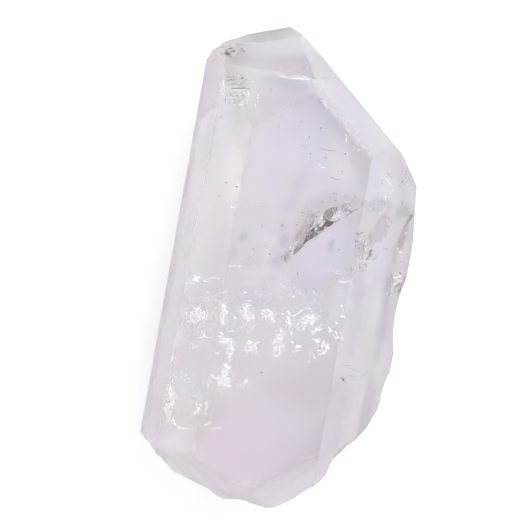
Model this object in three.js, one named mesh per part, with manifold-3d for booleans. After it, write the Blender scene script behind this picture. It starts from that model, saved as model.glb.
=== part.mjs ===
// A natural clear quartz crystal: a six-sided prism with one point and a broken base, lying on a prism face.
// Millimetres. +Y runs along the crystal's long axis towards the point, and +Z is up.
// The origin is on the surface that the crystal lies on, under the middle of its length and width.

import * as THREE from "three";
import { mergeVertices } from "three/addons/utils/BufferGeometryUtils.js";
import Module from "manifold-3d";

// Driving dimensions
const WIDTH = 31.8; // across the prism, from its sharp left side to its worn right side
const THICKNESS = 17.5; // between the prism face underneath and the one on top
const LENGTH = 64.4; // from the point to the end of the broken base
const TOP_LEFT_EDGE_X = -13.4; // where the top face meets the left-hand one
const TOP_RIGHT_EDGE_X = 8.3; // where the top face meets the right-hand one
const TIP_SHOULDER_Y = 25.7; // where the top face gives way to the point

const LEFT_EDGE_X = -WIDTH / 2;
const RIGHT_EDGE_X = WIDTH / 2;
const TIP_Y = LENGTH / 2;

const SIXTH_TURN = 60; // degrees between neighbouring prism faces
const POINT_LEAN = 51.8; // degrees between quartz's long axis and the normal of a point face
const SIDE_SLOPE = Math.tan(THREE.MathUtils.degToRad(SIXTH_TURN)); // fall of a side prism face per mm outwards

const LEFT_EDGE_Z = THICKNESS - SIDE_SLOPE * (TOP_LEFT_EDGE_X - LEFT_EDGE_X);
const RIGHT_EDGE_Z = THICKNESS - SIDE_SLOPE * (RIGHT_EDGE_X - TOP_RIGHT_EDGE_X);
const TIP = [-5.5, TIP_Y, 10.0];

// Flat crystal faces. turn is the angle about the long axis, 0 facing up and 90 facing +X.
// lean is the angle between the face's normal and the long axis. Each face passes through the point given.
const CRYSTAL_FACES = [
  { name: "top prism face", turn: 0, lean: 90, through: [0, 0, THICKNESS] },
  { name: "upper right prism face", turn: SIXTH_TURN, lean: 90, through: [TOP_RIGHT_EDGE_X, 0, THICKNESS] },
  { name: "lower right prism face", turn: 2 * SIXTH_TURN, lean: 90, through: [RIGHT_EDGE_X, 0, RIGHT_EDGE_Z] },
  { name: "prism face underneath", turn: 3 * SIXTH_TURN, lean: 90, through: [0, 0, 0] },
  { name: "lower left prism face", turn: 4 * SIXTH_TURN, lean: 90, through: [LEFT_EDGE_X, 0, LEFT_EDGE_Z] },
  { name: "upper left prism face", turn: 5 * SIXTH_TURN, lean: 90, through: [LEFT_EDGE_X, 0, LEFT_EDGE_Z] },
  { name: "top point face", turn: 0, lean: POINT_LEAN, through: [0, TIP_SHOULDER_Y, THICKNESS] },
  { name: "upper right point face", turn: 58, lean: 47.5, through: [-1.1, 25.8, THICKNESS] },
  { name: "lower right point face", turn: 120, lean: 42.5, through: [5.2, 24.0, 10.6] },
  { name: "lower left point face", turn: 215, lean: 56, through: TIP },
  { name: "small lower left point face", turn: 238, lean: 50, through: [-10.8, 30.3, 12.1] },
  { name: "tip chamfer", turn: 337.5, lean: 26.5, through: TIP },
  { name: "tip side", turn: 106, lean: 32.5, through: [-3.8, 31.2, 11.0] },
  { name: "left shoulder", turn: 285, lean: 49, through: [-15.0, 27.6, 14.0] },
  { name: "right shoulder", turn: 84, lean: 57, through: [13.7, 16.1, 7.6] },
  { name: "worn right edge", turn: 90, lean: 84, through: [RIGHT_EDGE_X, 6.0, RIGHT_EDGE_Z] },
];

// The broken base. Each break runs between two points of its outline, seen from above, at the height given,
// and leans by the angle given: a break with a positive lean faces up, one with a negative lean is undercut.
const BASE_BREAKS = [
  { from: [-16.0, -25.1], to: [-11.2, -29.0], height: 15, lean: -4 },
  { from: [-11.2, -29.0], to: [-3.7, -31.9], height: THICKNESS, lean: -9 },
  { from: [-3.7, -31.9], to: [3.2, -32.2], height: THICKNESS, lean: -5 },
  { from: [3.2, -32.2], to: [8.1, -28.6], height: THICKNESS, lean: -12 },
  { from: [8.1, -28.6], to: [14.5, -19.6], height: 14, lean: -7 },
  { from: [14.5, -19.6], to: [15.8, -12.6], height: 6, lean: -4 },
];
const HEART = new THREE.Vector3(-0.4, -12, 8.5); // every break is in sight of this point
const RIDGE_SHARPNESS = 90; // how sharply neighbouring breaks meet
const FARTHEST_REACH = 75; // past every crystal face
const RIPPLES = [
  { waves: [0.9, 0.5, 0.7], phase: 0.4, height: 0.15 },
  { waves: [-0.6, 1.3, 1.1], phase: 2.1, height: 0.1 },
  { waves: [1.9, -0.4, -1.5], phase: 4.0, height: 0.06 },
];
const CORE_DETAIL = 26;

// Shell-shaped bites out of the base and the edges, each the hollow of a ball outside the crystal.
const BITES = [
  { centre: [18.9, -28.4, 12.0], radius: 9.8 },
  { centre: [-1.1, -38.6, 16.0], radius: 7.1 },
  { centre: [33.4, -3.5, 4.5], radius: 18.2 },
  { centre: [-7.9, -37.4, 2.5], radius: 9.2 },
  { centre: [7.1, -35.2, 4.0], radius: 7.6 },
  { centre: [-18.2, -29.5, 3.0], radius: 8.0 },
];
const BITE_DETAIL = 11;

const MERGE_DISTANCE = 1e-4;

const wasm = await Module();
wasm.setup();

function faceNormal({ turn, lean }) {
  const about = THREE.MathUtils.degToRad(turn);
  const from = THREE.MathUtils.degToRad(lean);
  return new THREE.Vector3(
    Math.sin(from) * Math.sin(about),
    Math.cos(from),
    Math.sin(from) * Math.cos(about),
  );
}

function solidFrom(geometry) {
  const bare = geometry.index ? geometry.toNonIndexed() : geometry.clone();
  bare.deleteAttribute("normal");
  bare.deleteAttribute("uv");
  const merged = mergeVertices(bare, MERGE_DISTANCE);
  return new wasm.Manifold(
    new wasm.Mesh({
      numProp: 3,
      vertProperties: merged.getAttribute("position").array,
      triVerts: new Uint32Array(merged.index.array),
    }),
  );
}

function geometryFrom(solid) {
  const mesh = solid.getMesh();
  const geometry = new THREE.BufferGeometry();
  geometry.setAttribute("position", new THREE.BufferAttribute(mesh.vertProperties, mesh.numProp));
  geometry.setIndex(new THREE.BufferAttribute(mesh.triVerts, 1));
  geometry.computeVertexNormals();
  return geometry;
}

// The plane of a break: its outward normal and its distance from the heart.
function breakPlane({ from, to, height, lean }) {
  const start = new THREE.Vector3(from[0], from[1], height);
  const along = new THREE.Vector3(to[0] - from[0], to[1] - from[1], 0).normalize();
  const outwards = new THREE.Vector3(along.y, -along.x, 0);
  const tilt = THREE.MathUtils.degToRad(lean);
  const normal = outwards.multiplyScalar(Math.cos(tilt)).setZ(Math.sin(tilt));
  return { normal, distance: start.sub(HEART).dot(normal) };
}

// Distance from the heart to the broken surface. A high power of the planes' nearness rounds the ridges a little.
function reach(direction, planes) {
  let nearness = FARTHEST_REACH ** -RIDGE_SHARPNESS;
  for (const { normal, distance } of planes) {
    const facing = Math.max(direction.dot(normal), 0);
    nearness += (facing / distance) ** RIDGE_SHARPNESS;
  }
  return nearness ** (-1 / RIDGE_SHARPNESS);
}

function ripple(point) {
  return RIPPLES.reduce(
    (sum, { waves, phase, height }) => sum + height * Math.sin(point.dot(new THREE.Vector3(...waves)) + phase),
    0,
  );
}

// A round lump with its surface moved out to the breaks. The crystal faces then cut all the rest of it away.
function brokenCore() {
  const planes = BASE_BREAKS.map(breakPlane);
  const geometry = new THREE.IcosahedronGeometry(1, CORE_DETAIL);
  const position = geometry.getAttribute("position");
  const point = new THREE.Vector3();
  for (let i = 0; i < position.count; i++) {
    const direction = point.fromBufferAttribute(position, i).normalize().clone();
    point.copy(direction).multiplyScalar(reach(direction, planes)).add(HEART);
    point.addScaledVector(direction, ripple(point));
    position.setXYZ(i, point.x, point.y, point.z);
  }
  return solidFrom(geometry);
}

// Everything on the outer side of a crystal face.
function beyondFace(face) {
  const size = 4 * FARTHEST_REACH;
  const block = new THREE.BoxGeometry(size, size, size).translate(0, 0, size / 2);
  const turned = new THREE.Quaternion().setFromUnitVectors(
    new THREE.Vector3(0, 0, 1),
    faceNormal(face),
  );
  block.applyQuaternion(turned).translate(...face.through);
  return solidFrom(block);
}

function bite({ centre, radius }) {
  const ball = new THREE.IcosahedronGeometry(radius, BITE_DETAIL).translate(...centre);
  return solidFrom(ball);
}

function crystalSolid() {
  let solid = brokenCore();
  for (const face of CRYSTAL_FACES) solid = solid.subtract(beyondFace(face));
  for (const hollow of BITES) solid = solid.subtract(bite(hollow));
  return solid;
}

const clearQuartz = new THREE.MeshStandardMaterial({
  color: 0xdcd6e0,
  roughness: 0.12,
  metalness: 0,
  transparent: true,
  opacity: 0.45,
});

const crystal = new THREE.Mesh(geometryFrom(crystalSolid()), clearQuartz);
crystal.name = "quartz_crystal";

const part = new THREE.Group();
part.add(crystal);

export default part;
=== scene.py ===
"""A natural clear quartz crystal with its inner fractures, on a plain pale stage.

Metres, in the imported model's frame: +Y runs along the crystal towards its point, and it lies on z = 0.
Places inside the crystal are pixels of the photograph, which looks straight down, and depths in mm.
"""

import math
import random

import bmesh
import bpy
import numpy as np
from mathutils import Matrix, Vector, noise
from mathutils.bvhtree import BVHTree


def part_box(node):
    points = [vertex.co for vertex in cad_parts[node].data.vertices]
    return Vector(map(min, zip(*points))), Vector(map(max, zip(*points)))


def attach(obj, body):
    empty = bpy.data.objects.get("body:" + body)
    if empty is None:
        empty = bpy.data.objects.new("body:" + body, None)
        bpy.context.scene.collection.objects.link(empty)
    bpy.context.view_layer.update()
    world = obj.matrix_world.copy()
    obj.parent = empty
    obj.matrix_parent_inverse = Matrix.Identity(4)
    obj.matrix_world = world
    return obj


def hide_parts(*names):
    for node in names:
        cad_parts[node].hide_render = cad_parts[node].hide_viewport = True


bl_info = {
    "name": "Clear Quartz Crystal",
    "version": (1, 0, 0),
    "blender": (4, 5, 0),
    "location": "View3D > Sidebar > Quartz",
    "description": "Builds a clear quartz crystal with its inner fractures, and a stage to look at it on",
    "category": "Object",
}

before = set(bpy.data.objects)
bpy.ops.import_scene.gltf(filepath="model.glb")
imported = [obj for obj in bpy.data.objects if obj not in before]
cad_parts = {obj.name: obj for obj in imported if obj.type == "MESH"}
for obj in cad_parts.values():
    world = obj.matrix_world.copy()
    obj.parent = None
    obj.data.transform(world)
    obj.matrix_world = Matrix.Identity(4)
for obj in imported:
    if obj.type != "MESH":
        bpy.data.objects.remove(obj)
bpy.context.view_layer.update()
CAD_NODE = "quartz_crystal"
CRYSTAL_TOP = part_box(CAD_NODE)[1].z

MM = 0.001
THICKNESS = CRYSTAL_TOP / MM

# The photograph's view of the crystal, straight down
PHOTO_WIDTH = 530  # pixels
PHOTO_CENTRE = (265.0, 265.0)
ORIGIN_PIXEL = (289.2, 268.8)  # where the model's origin is seen
MM_PER_PIXEL = 0.135
PHOTO_TURN = math.radians(10.1)  # the crystal's long axis leans this far to the right of upright
SIGHT_HEIGHT = 8.75  # mm, the height at which the scale above holds
HALF_PIXEL = MM_PER_PIXEL * MM / 2  # m

# The stage
KEY_HEADING = 45  # degrees, where the large soft light is in the photograph
KEY_REACH = 0.5  # m, how far to the side of the crystal it stands
KEY_HEIGHT = 0.7  # m
FLOOR_RADIUS = 2.5  # m
FLOOR_DROP = 0.05 * MM  # so that the floor doesn't touch the face that the crystal lies on
SENSOR_WIDTH = 36.0  # mm, in the camera
FARTHEST_SIGHT = 10.0  # m, how far the camera sees


def place(x, y, height):
    """The point, in metres, that is seen at a pixel of the photograph at a height in mm."""
    across = (x - ORIGIN_PIXEL[0]) * MM_PER_PIXEL
    down = (y - ORIGIN_PIXEL[1]) * MM_PER_PIXEL
    return Vector(
        (
            math.cos(PHOTO_TURN) * across + math.sin(PHOTO_TURN) * down,
            math.sin(PHOTO_TURN) * across - math.cos(PHOTO_TURN) * down,
            height,
        )
    ) * MM


def heading(degrees):
    """The level direction seen at an angle in the photograph, anticlockwise from its right-hand side."""
    turned = math.radians(degrees) + PHOTO_TURN
    return Vector((math.cos(turned), math.sin(turned), 0))


# Materials


class Wire:
    """An output socket. Arithmetic on it adds Math nodes to its tree."""

    def __init__(self, recipe, socket):
        self.recipe = recipe
        self.socket = socket

    def _math(self, operation, *values):
        return self.recipe.node("Math", {"operation": operation}, dict(enumerate(values)))

    def __add__(self, other):
        return self._math("ADD", self, other)

    def __sub__(self, other):
        return self._math("SUBTRACT", self, other)

    def __rsub__(self, other):
        return self._math("SUBTRACT", other, self)

    def __mul__(self, other):
        return self._math("MULTIPLY", self, other)

    __radd__ = __add__
    __rmul__ = __mul__

    def clamped(self):
        return self._math("MINIMUM", self._math("MAXIMUM", self, 0.0), 1.0)


class Recipe:
    """The node tree of a new material, or of the world."""

    def __init__(self, owner, output="OutputMaterial"):
        self.owner = owner
        owner.use_nodes = True
        self.tree = owner.node_tree
        self.tree.nodes.clear()
        self.output = self.tree.nodes.new("ShaderNode" + output)

    def node(self, kind, settings=None, inputs=None, output=0):
        """Adds a shader node, sets its settings and then its sockets, and gives one of its outputs."""
        node = self.tree.nodes.new("ShaderNode" + kind)
        for name, value in (settings or {}).items():
            if name == "stops":
                self._set_stops(node.color_ramp, value)
            else:
                setattr(node, name, value)
        for name, value in (inputs or {}).items():
            self.feed(node.inputs[name], value)
        return Wire(self, node.outputs[output])

    def feed(self, socket, value):
        if isinstance(value, Wire):
            self.tree.links.new(value.socket, socket)
        else:
            socket.default_value = value

    @staticmethod
    def _set_stops(ramp, stops):
        while len(ramp.elements) < len(stops):
            ramp.elements.new(1.0)
        for element, (position, colour) in zip(ramp.elements, stops):
            element.position = position
            element.color = (*colour, 1.0)

    def noise(self, where, scale, detail=3.0, output="Fac"):
        """Cloudy noise, of so many clouds a metre."""
        return self.node("TexNoise", {}, {"Vector": where, "Scale": scale, "Detail": detail}, output)

    def ramp(self, share, *stops):
        """A colour that changes with share through some stops, each a position and a colour."""
        return self.node("ValToRGB", {"stops": stops}, {"Fac": share}, "Color")

    def relief(self, height, strength, distance):
        """Small bumps, as a normal."""
        inputs = {"Height": height, "Strength": strength, "Distance": distance}
        return self.node("Bump", {}, inputs, "Normal")

    def vector(self, operation, first, second, output="Vector"):
        """Arithmetic on vectors."""
        inputs = {0: first, ("Scale" if operation == "SCALE" else 1): second}
        return self.node("VectorMath", {"operation": operation}, inputs, output)

    def between(self, value, low, high):
        """0 where value is at low or under, 1 at high or over, and smooth between."""
        inputs = {"Value": value, "From Min": low, "From Max": high}
        return self.node("MapRange", {"interpolation_type": "SMOOTHSTEP"}, inputs, "Result")

    def mixed(self, blend, share, first, second):
        """Two colours mixed by a share."""
        settings = {"data_type": "RGBA", "blend_type": blend, "clamp_factor": True}
        return self.node("Mix", settings, {0: share, 6: first, 7: second}, 2)

    def surface(self, kind, inputs):
        """Makes a shader the tree's surface."""
        self.feed(self.output.inputs["Surface"], self.node(kind, {}, inputs))


def object_place(recipe, size=(1, 1, 1)):
    """Object coordinates, stretched by size."""
    where = recipe.node("TexCoord", {}, {}, "Object")
    return recipe.node("Mapping", {"vector_type": "POINT"}, {"Vector": where, "Scale": size})


# Soft veils and stains, and painted light and shade, which the body's colour carries: many of these ellipses
# paint the light and shade of how light falls through the faces, not something in the stone. Each one:
# place, length, width, direction, how much of the edge is soft, and what it does to red, green and blue.
# Some end sharply at a line.
VEILS_AND_PAINTED_SHADING = {
    "everywhere": [
        (231, 150, 130, 24, 81, 0.5, (1.02, 1.025, 1.0)),  # the pale band at the upper left
        (234, 176, 70, 18, 81, 0.3, (1.07, 1.08, 1.03)),
        (234, 190, 30, 12, 78, 0.3, (1.04, 1.04, 1.02)),
        (236, 118, 40, 18, 84, 0.6, (0.90, 0.925, 0.89)),
        (253, 98, 30, 8, 84, 0.6, (1.06, 1.06, 1.03)),
        (192, 150, 44, 14, 78, 0.7, (1.10, 1.10, 1.10)),  # painted light along the left margin
        (181, 225, 90, 14, 78, 0.8, (1.10, 1.10, 1.08)),
        (209, 78, 70, 16, 80, 0.7, (0.94, 0.85, 0.91)),
        (207, 146, 84, 20, 80, 0.8, (0.86, 0.90, 0.86)),
        (234, 66, 56, 30, 80, 0.7, (0.84, 0.83, 0.84)),  # painted shade at the left of the point
        (230, 53, 18, 14, 20, 0.7, (0.93, 0.90, 0.92)),
        (243, 55, 16, 12, 0, 0.7, (0.95, 0.92, 0.94)),
        (237, 81, 28, 18, 0, 0.4, (0.89, 0.89, 0.90)),
        (235, 98, 24, 17, 0, 0.4, (0.95, 0.95, 0.95)),
        (270, 34, 68, 17, 13, 0.4, (0.60, 0.585, 0.60)),  # painted shade on the chamfer at the tip
        (285, 62, 66, 36, 0, 0.6, (1.10, 1.09, 1.10)),
        # A painted highlight along the point's lower edge
        (284, 73.5, 62, 6, -8, 0.6, (1.08, 1.08, 1.05)),
        (288, 83, 66, 18, -8, 0.5, (0.86, 0.86, 0.89)),
        (310, 140, 160, 100, 120, 0.9, (1.03, 1.025, 1.065)),  # the bluish field
        (342, 165, 80, 36, 110, 0.8, (1.09, 1.09, 1.10)),
        (345, 110, 80, 16, 128, 0.5, (0.97, 0.965, 0.985)),
        (300, 182, 62, 24, 60, 0.9, (0.93, 0.935, 0.955)),
        (290, 205, 40, 20, 45, 0.8, (0.94, 0.94, 0.97)),
        (270, 175, 110, 30, 100, 0.9, (1.0, 1.0, 1.015)),
        (243, 236, 16, 10, 55, 0.4, (0.89, 0.90, 0.89)),  # grey patches below the pale band
        (233, 254, 18, 12, 80, 0.5, (0.94, 0.94, 0.94)),
        (246, 262, 16, 10, 0, 0.6, (0.94, 0.94, 0.94)),
        (283, 226, 14, 10, 60, 0.6, (0.92, 0.92, 0.93)),
        (276, 262, 26, 16, 70, 0.6, (0.92, 0.93, 0.94)),
        (286, 257, 15, 10, 55, 0.5, (0.88, 0.88, 0.89)),
        (258, 272, 40, 18, 10, 0.8, (1.03, 1.05, 1.05)),
        (262, 236, 24, 18, 0, 0.8, (1.04, 1.04, 1.06)),
        (305, 285, 60, 20, 0, 0.8, (0.97, 0.965, 1.0)),
        (288, 287, 17, 3.5, -12, 0.7, (1.08, 1.08, 1.09)),
        (291, 296, 15, 5, -15, 0.7, (1.07, 1.07, 1.09)),
        (340, 300, 68, 24, 80, 0.8, (1.09, 1.09, 1.11)),
        (194, 314, 90, 36, 80, 0.9, (0.93, 0.905, 0.93)),
        (178, 358, 36, 24, 70, 0.8, (0.93, 0.88, 0.91)),
        (354, 326, 84, 26, 80, 0.8, (0.86, 0.84, 0.89)),  # painted purple shade of the lower half
        (378, 365, 80, 24, 75, 0.8, (1.10, 1.10, 1.10)),
        (346, 352, 30, 24, 40, 0.8, (0.96, 0.93, 0.94)),
        (165, 410, 100, 38, 80, 0.8, (0.86, 0.84, 0.85)),
        (200, 415, 90, 60, 60, 0.8, (0.96, 0.97, 0.94)),
        (265, 455, 220, 110, -20, 0.7, (0.97, 0.955, 0.975)),
        (255, 300, 60, 24, 0, 0.8, (0.94, 0.95, 0.96)),
        (402, 245, 60, 12, 85, 0.7, (1.10, 1.10, 1.10)),
        (269, 248, 46, 9, 70, 0.6, (1.08, 1.08, 1.08)),  # pale streaks in the middle
        (281, 282, 36, 10, 65, 0.6, (1.06, 1.06, 1.07)),
        (250, 283, 34, 9, 5, 0.7, (1.07, 1.07, 1.06)),
        (262, 296, 30, 6, -10, 0.6, (1.08, 1.08, 1.08)),
        (212, 299, 26, 7, 10, 0.7, (1.07, 1.06, 1.06)),
        (160, 330, 60, 12, 80, 0.7, (1.10, 1.10, 1.10)),
        (366, 396, 46, 16, 72, 0.6, (1.10, 1.10, 1.10)),
        (285, 240, 20, 14, 60, 0.7, (0.89, 0.90, 0.95)),
        (292, 392, 120, 70, 10, 0.95, (0.955, 0.945, 0.955)),
        (333, 450, 80, 30, 55, 0.8, (0.93, 0.91, 0.90)),
        (272, 270, 24, 16, 0, 0.7, (1.05, 1.05, 1.06)),
    ],
    # Painted shade beside the point's edge
    "beside the point's edge": [
        (325, 108, 96, 26, 129, 0.5, (0.97, 0.965, 0.985)),
    ],
    "above the fracture": [
        (316, 216, 72, 40, 50, 0.45, (0.93, 0.93, 0.925)),
        (346, 204, 30, 16, 15, 0.5, (0.94, 0.94, 0.93)),
        (302, 236, 38, 16, 54, 0.5, (0.86, 0.83, 0.84)),
        (290, 250, 22, 14, 60, 0.7, (0.93, 0.93, 0.94)),
        (337, 216, 15, 6, 25, 0.5, (1.10, 1.10, 1.10)),
    ],
    "below the fracture": [
        (330, 250, 84, 64, 40, 0.5, (1.03, 1.04, 1.08)),
        (331, 245, 17, 6, 78, 0.4, (0.86, 0.87, 0.89)),
    ],
    # Painted shade that evens out the tone step at the lower left edge
    "left of the lower left edge": [
        (212, 320, 280, 60, 80, 0.7, (0.955, 0.95, 0.96)),
    ],
    # Painted shade right of the lower right edge
    "right of the lower right edge": [
        (333, 412, 130, 42, 78, 0.7, (0.80, 0.785, 0.82)),
    ],
    # Partly grey veils of the side cracks, partly painted light and shade under the right-hand face
    "under the right-hand face": [
        (359, 284, 54, 22, 80, 0.7, (0.82, 0.795, 0.84)),
        (375, 205, 34, 17, 0, 0.5, (0.78, 0.77, 0.77)),
        (364, 216, 16, 16, 80, 0.6, (0.93, 0.93, 0.93)),
        (379, 231, 40, 17, 63, 0.35, (0.67, 0.62, 0.63)),
        (366, 248, 34, 15, 78, 0.5, (0.86, 0.85, 0.85)),
        (370, 253, 16, 6, 70, 0.6, (0.84, 0.83, 0.84)),
        (357, 268, 18, 10, 70, 0.6, (0.90, 0.90, 0.90)),
        (411, 215, 14, 7, 62, 0.5, (0.82, 0.80, 0.80)),
        (384, 266, 44, 26, 95, 0.7, (1.03, 1.01, 1.08)),
        (391, 190, 40, 22, 110, 0.7, (1.10, 1.10, 1.09)),
        (386, 284, 18, 14, 80, 0.6, (0.94, 0.93, 0.93)),
        (398, 288, 22, 10, 65, 0.5, (0.88, 0.87, 0.87)),
        (399, 275, 13, 9, 0, 0.5, (1.08, 1.08, 1.08)),
    ],
}
TINT_WOBBLE = 1.1 * MM  # how far the edges of the veils and of the painted light and shade stray
LINE_SOFTNESS = 0.12 * MM
BASE_HAZE_START = -14 * MM  # along Y, where the crystal faces begin to get rougher
BASE_HAZE_FULL = -26 * MM
# Sharp lines that the veils and the painted light and shade end at: two pixels each, and the lit side is on
# the left of the way between them
TINT_LINES = {
    "fracture": ((292, 255.3), (357, 209.5)),
    "right prism edge": ((345.5, 325), (367, 152)),
    "point's edge": ((369.5, 152), (315, 79)),
    "lower left edge": ((202.2, 400), (245, 160)),
    "lower right edge": ((321.8, 440), (342.4, 325)),
}


def tint_ellipse_mask(recipe, where, x, y, along, across, angle, softness):
    """1 in the middle of an ellipse, whose length and width are in pixels, and 0 outside."""
    placing = {
        0: where,
        1: place(x, y, 0),
        2: (0, 0, PHOTO_TURN + math.radians(angle)),
        3: (along * HALF_PIXEL, across * HALF_PIXEL, 1.0),
    }
    inside = recipe.node("Mapping", {"vector_type": "TEXTURE"}, placing)
    nearness = recipe.node("TexGradient", {"gradient_type": "SPHERICAL"}, {0: inside}, "Fac")
    return recipe.between(nearness, 0.0, softness)


def left_of(recipe, where, line):
    """1 on the left of the way along a line, seen from above, and 0 on its right."""
    start, end = (place(x, y, 0) for x, y in line)
    along = (end - start).normalized()
    across = Vector((-along.y, along.x, 0.0))
    level = recipe.vector("DOT_PRODUCT", where, across, "Value")
    line_level = start.dot(across)
    return recipe.between(level, line_level - LINE_SOFTNESS, line_level + LINE_SOFTNESS)


def with_veils_and_painted_shading(recipe, where, tint):
    """The tint with every veil and all the painted light and shade in it."""
    wobble = recipe.noise(where, 800.0, output="Color")
    wobble = recipe.vector("SUBTRACT", wobble, (0.5, 0.5, 0.5))
    wobble = recipe.vector("SCALE", wobble, 2 * TINT_WOBBLE)
    astray = recipe.vector("ADD", where, wobble)
    grain = recipe.noise(where, 1500.0) * 1.2 + 0.4
    above = left_of(recipe, where, TINT_LINES["fracture"])
    top = left_of(recipe, where, TINT_LINES["right prism edge"])
    sides = {
        "everywhere": 1.0,
        "beside the point's edge": left_of(recipe, where, TINT_LINES["point's edge"]),
        "above the fracture": above * top,
        "below the fracture": (1.0 - above) * top,
        "under the right-hand face": 1.0 - top,
        "left of the lower left edge": left_of(recipe, where, TINT_LINES["lower left edge"]),
        "right of the lower right edge": 1.0 - left_of(recipe, where, TINT_LINES["lower right edge"]),
    }
    for side, veils in VEILS_AND_PAINTED_SHADING.items():
        for *ellipse, stain_or_shading in veils:
            mask = tint_ellipse_mask(recipe, astray, *ellipse) * grain * sides[side]
            tint = recipe.mixed("MULTIPLY", mask, tint, (*stain_or_shading, 1.0))
    return tint


def clear_quartz(settings):
    """See-through quartz: a faint tint by absorption, a surface colour with veils and painted light and
    shade, satin faces and a frosted break.
    """
    recipe = Recipe(bpy.data.materials.new("clear_quartz"))
    where = object_place(recipe)
    frost = recipe.node("Attribute", {"attribute_name": "frost"}, {}, "Fac")

    cloud = recipe.noise(where, 90.0, 4.0)
    mottle = recipe.noise(where, 380.0)
    tint = recipe.ramp(cloud * 0.6 + mottle * 0.4, (0.3, (0.91, 0.875, 0.895)), (0.7, (0.91, 0.915, 0.94)))
    # The surface colour takes the veils and the painted light and shade
    tint = with_veils_and_painted_shading(recipe, where, tint)

    smudge = recipe.between(recipe.noise(where, 240.0, 4.0), 0.5, 0.75)
    along = recipe.node("SeparateXYZ", {}, {"Vector": where}, "Y")
    haze = recipe.between(along, BASE_HAZE_START, BASE_HAZE_FULL)
    polished = smudge * 0.03 + haze * settings.base_haze + settings.face_roughness
    hackle = recipe.noise(where, 900.0, 4.0)
    frosted = hackle * 0.25 + settings.break_roughness
    roughness = polished * (1.0 - frost) + frosted * frost
    broken = recipe.between(frost, 0.9, 1.0)

    band_place = object_place(recipe, (0.12, 1.0, 0.12))
    striae = recipe.node(
        "TexWave",
        {"wave_type": "BANDS", "bands_direction": "Y"},
        {"Vector": band_place, "Scale": 420.0, "Distortion": 6.0, "Detail": 3.0, "Detail Scale": 1.5},
        "Fac",
    )
    striae_patch = recipe.between(recipe.noise(where, 110.0, 2.0), 0.48, 0.62)
    growth = recipe.noise(where, 150.0, 2.0)
    height = striae * striae_patch * 0.2 + growth * 0.4 + hackle * broken * 0.5

    recipe.surface(
        "BsdfPrincipled",
        {
            "Base Color": tint,
            "Roughness": roughness.clamped(),
            "IOR": settings.ior,
            "Transmission Weight": 1.0,
            "Normal": recipe.relief(height, 0.35, 0.04 * MM),
        },
    )
    inputs = {"Color": (*settings.tint, 1.0), "Density": settings.tint_density}
    recipe.feed(recipe.output.inputs["Volume"], recipe.node("VolumeAbsorption", {}, inputs))
    return recipe.owner


def flake_material(name, dark, middle, light, roughness=0.35, metallic=0.0):
    """Opaque flakes that go from dark to light by their tone, with a drift from place to place."""
    recipe = Recipe(bpy.data.materials.new(name))
    where = object_place(recipe)
    tone = recipe.node("Attribute", {"attribute_name": "tone"}, {}, "Fac")
    drift = recipe.noise(where, 2500.0, 2.0)
    recipe.surface(
        "BsdfPrincipled",
        {
            "Base Color": recipe.ramp(tone + drift * 0.16 - 0.08, (0.0, dark), (0.5, middle), (1.0, light)),
            "Roughness": (drift * 0.2 + roughness).clamped(),
            "Metallic": metallic,
            "Normal": recipe.relief(drift, 0.3, 0.02 * MM),
        },
    )
    return recipe.owner


# Building pieces


def new_object(name, bm, material):
    """Turns a finished bmesh into an object of one material."""
    mesh = bpy.data.meshes.new(name)
    bm.to_mesh(mesh)
    bm.free()
    mesh.materials.append(material)
    made = bpy.data.objects.new(name, mesh)
    bpy.context.scene.collection.objects.link(made)
    return made


def new_piece(name, bm, material):
    """An object that is part of the crystal and rides on its body."""
    piece = new_object(name, bm, material)
    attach(piece, "root")
    return piece


def add_face_values(piece, name, values):
    """Gives each face of a piece a number, which its material reads."""
    attribute = piece.data.attributes.new(name, "FLOAT", "FACE")
    attribute.data.foreach_set("value", np.array(values, np.float32))


# The crystal's body

# The broken base, as the part's source gives it. Each break: two points of the outline, a height and a lean
BASE_BREAKS = [
    ((-16.0, -25.1), (-11.2, -29.0), 15.0, -4),
    ((-11.2, -29.0), (-3.7, -31.9), THICKNESS, -9),
    ((-3.7, -31.9), (3.2, -32.2), THICKNESS, -5),
    ((3.2, -32.2), (8.1, -28.6), THICKNESS, -12),
    ((8.1, -28.6), (14.5, -19.6), 14.0, -7),
    ((14.5, -19.6), (15.8, -12.6), 6.0, -4),
]
HEART = np.array((-0.4, -12.0, 8.5))
RIDGE_SHARPNESS = 90
FARTHEST_REACH = 75.0
# Each ripple: waves along X, Y and Z, phase, height in mm
RIPPLES = [
    ((0.9, 0.5, 0.7), 0.4, 0.15),
    ((-0.6, 1.3, 1.1), 2.1, 0.1),
    ((1.9, -0.4, -1.5), 4.0, 0.06),
]
# Shell-shaped bites: centre and radius of the ball that each one is the hollow of
BITES = [
    ((18.9, -28.4, 12.0), 9.8),
    ((-1.1, -38.6, 16.0), 7.1),
    ((33.4, -3.5, 4.5), 18.2),
    ((-7.9, -37.4, 2.5), 9.2),
    ((7.1, -35.2, 4.0), 7.6),
    ((-18.2, -29.5, 3.0), 8.0),
]
SPHERE_DETAIL = 7
BREAK_REACH = 40.0  # mm, past which the crystal faces cut everything away
FLAT_AREA = 1.0 * MM * MM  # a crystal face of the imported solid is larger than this
LEAST_TRIANGLE = FLAT_AREA / 20
FLAT_SLACK = 0.005 * MM
SAME_WAY = 0.99995  # normals of one flat face agree this far
HACKLES_PER_MM = 0.9
PRISM_EDGE_WAY = 0.99  # an edge whose direction has more of +Y than this is an edge of the prism
FACING_DOWN = 0.1  # a face whose normal has less of +Z than this is on the lower side


def break_planes():
    """Outward normals of the base's breaks and their distances from the heart, in mm."""
    planes = []
    for start, end, height, lean in BASE_BREAKS:
        along = np.array((end[0] - start[0], end[1] - start[1]))
        along /= np.linalg.norm(along)
        tilt = math.radians(lean)
        normal = np.array((along[1] * math.cos(tilt), -along[0] * math.cos(tilt), math.sin(tilt)))
        planes.append((normal, (np.array((*start, height)) - HEART) @ normal))
    return planes


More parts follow.
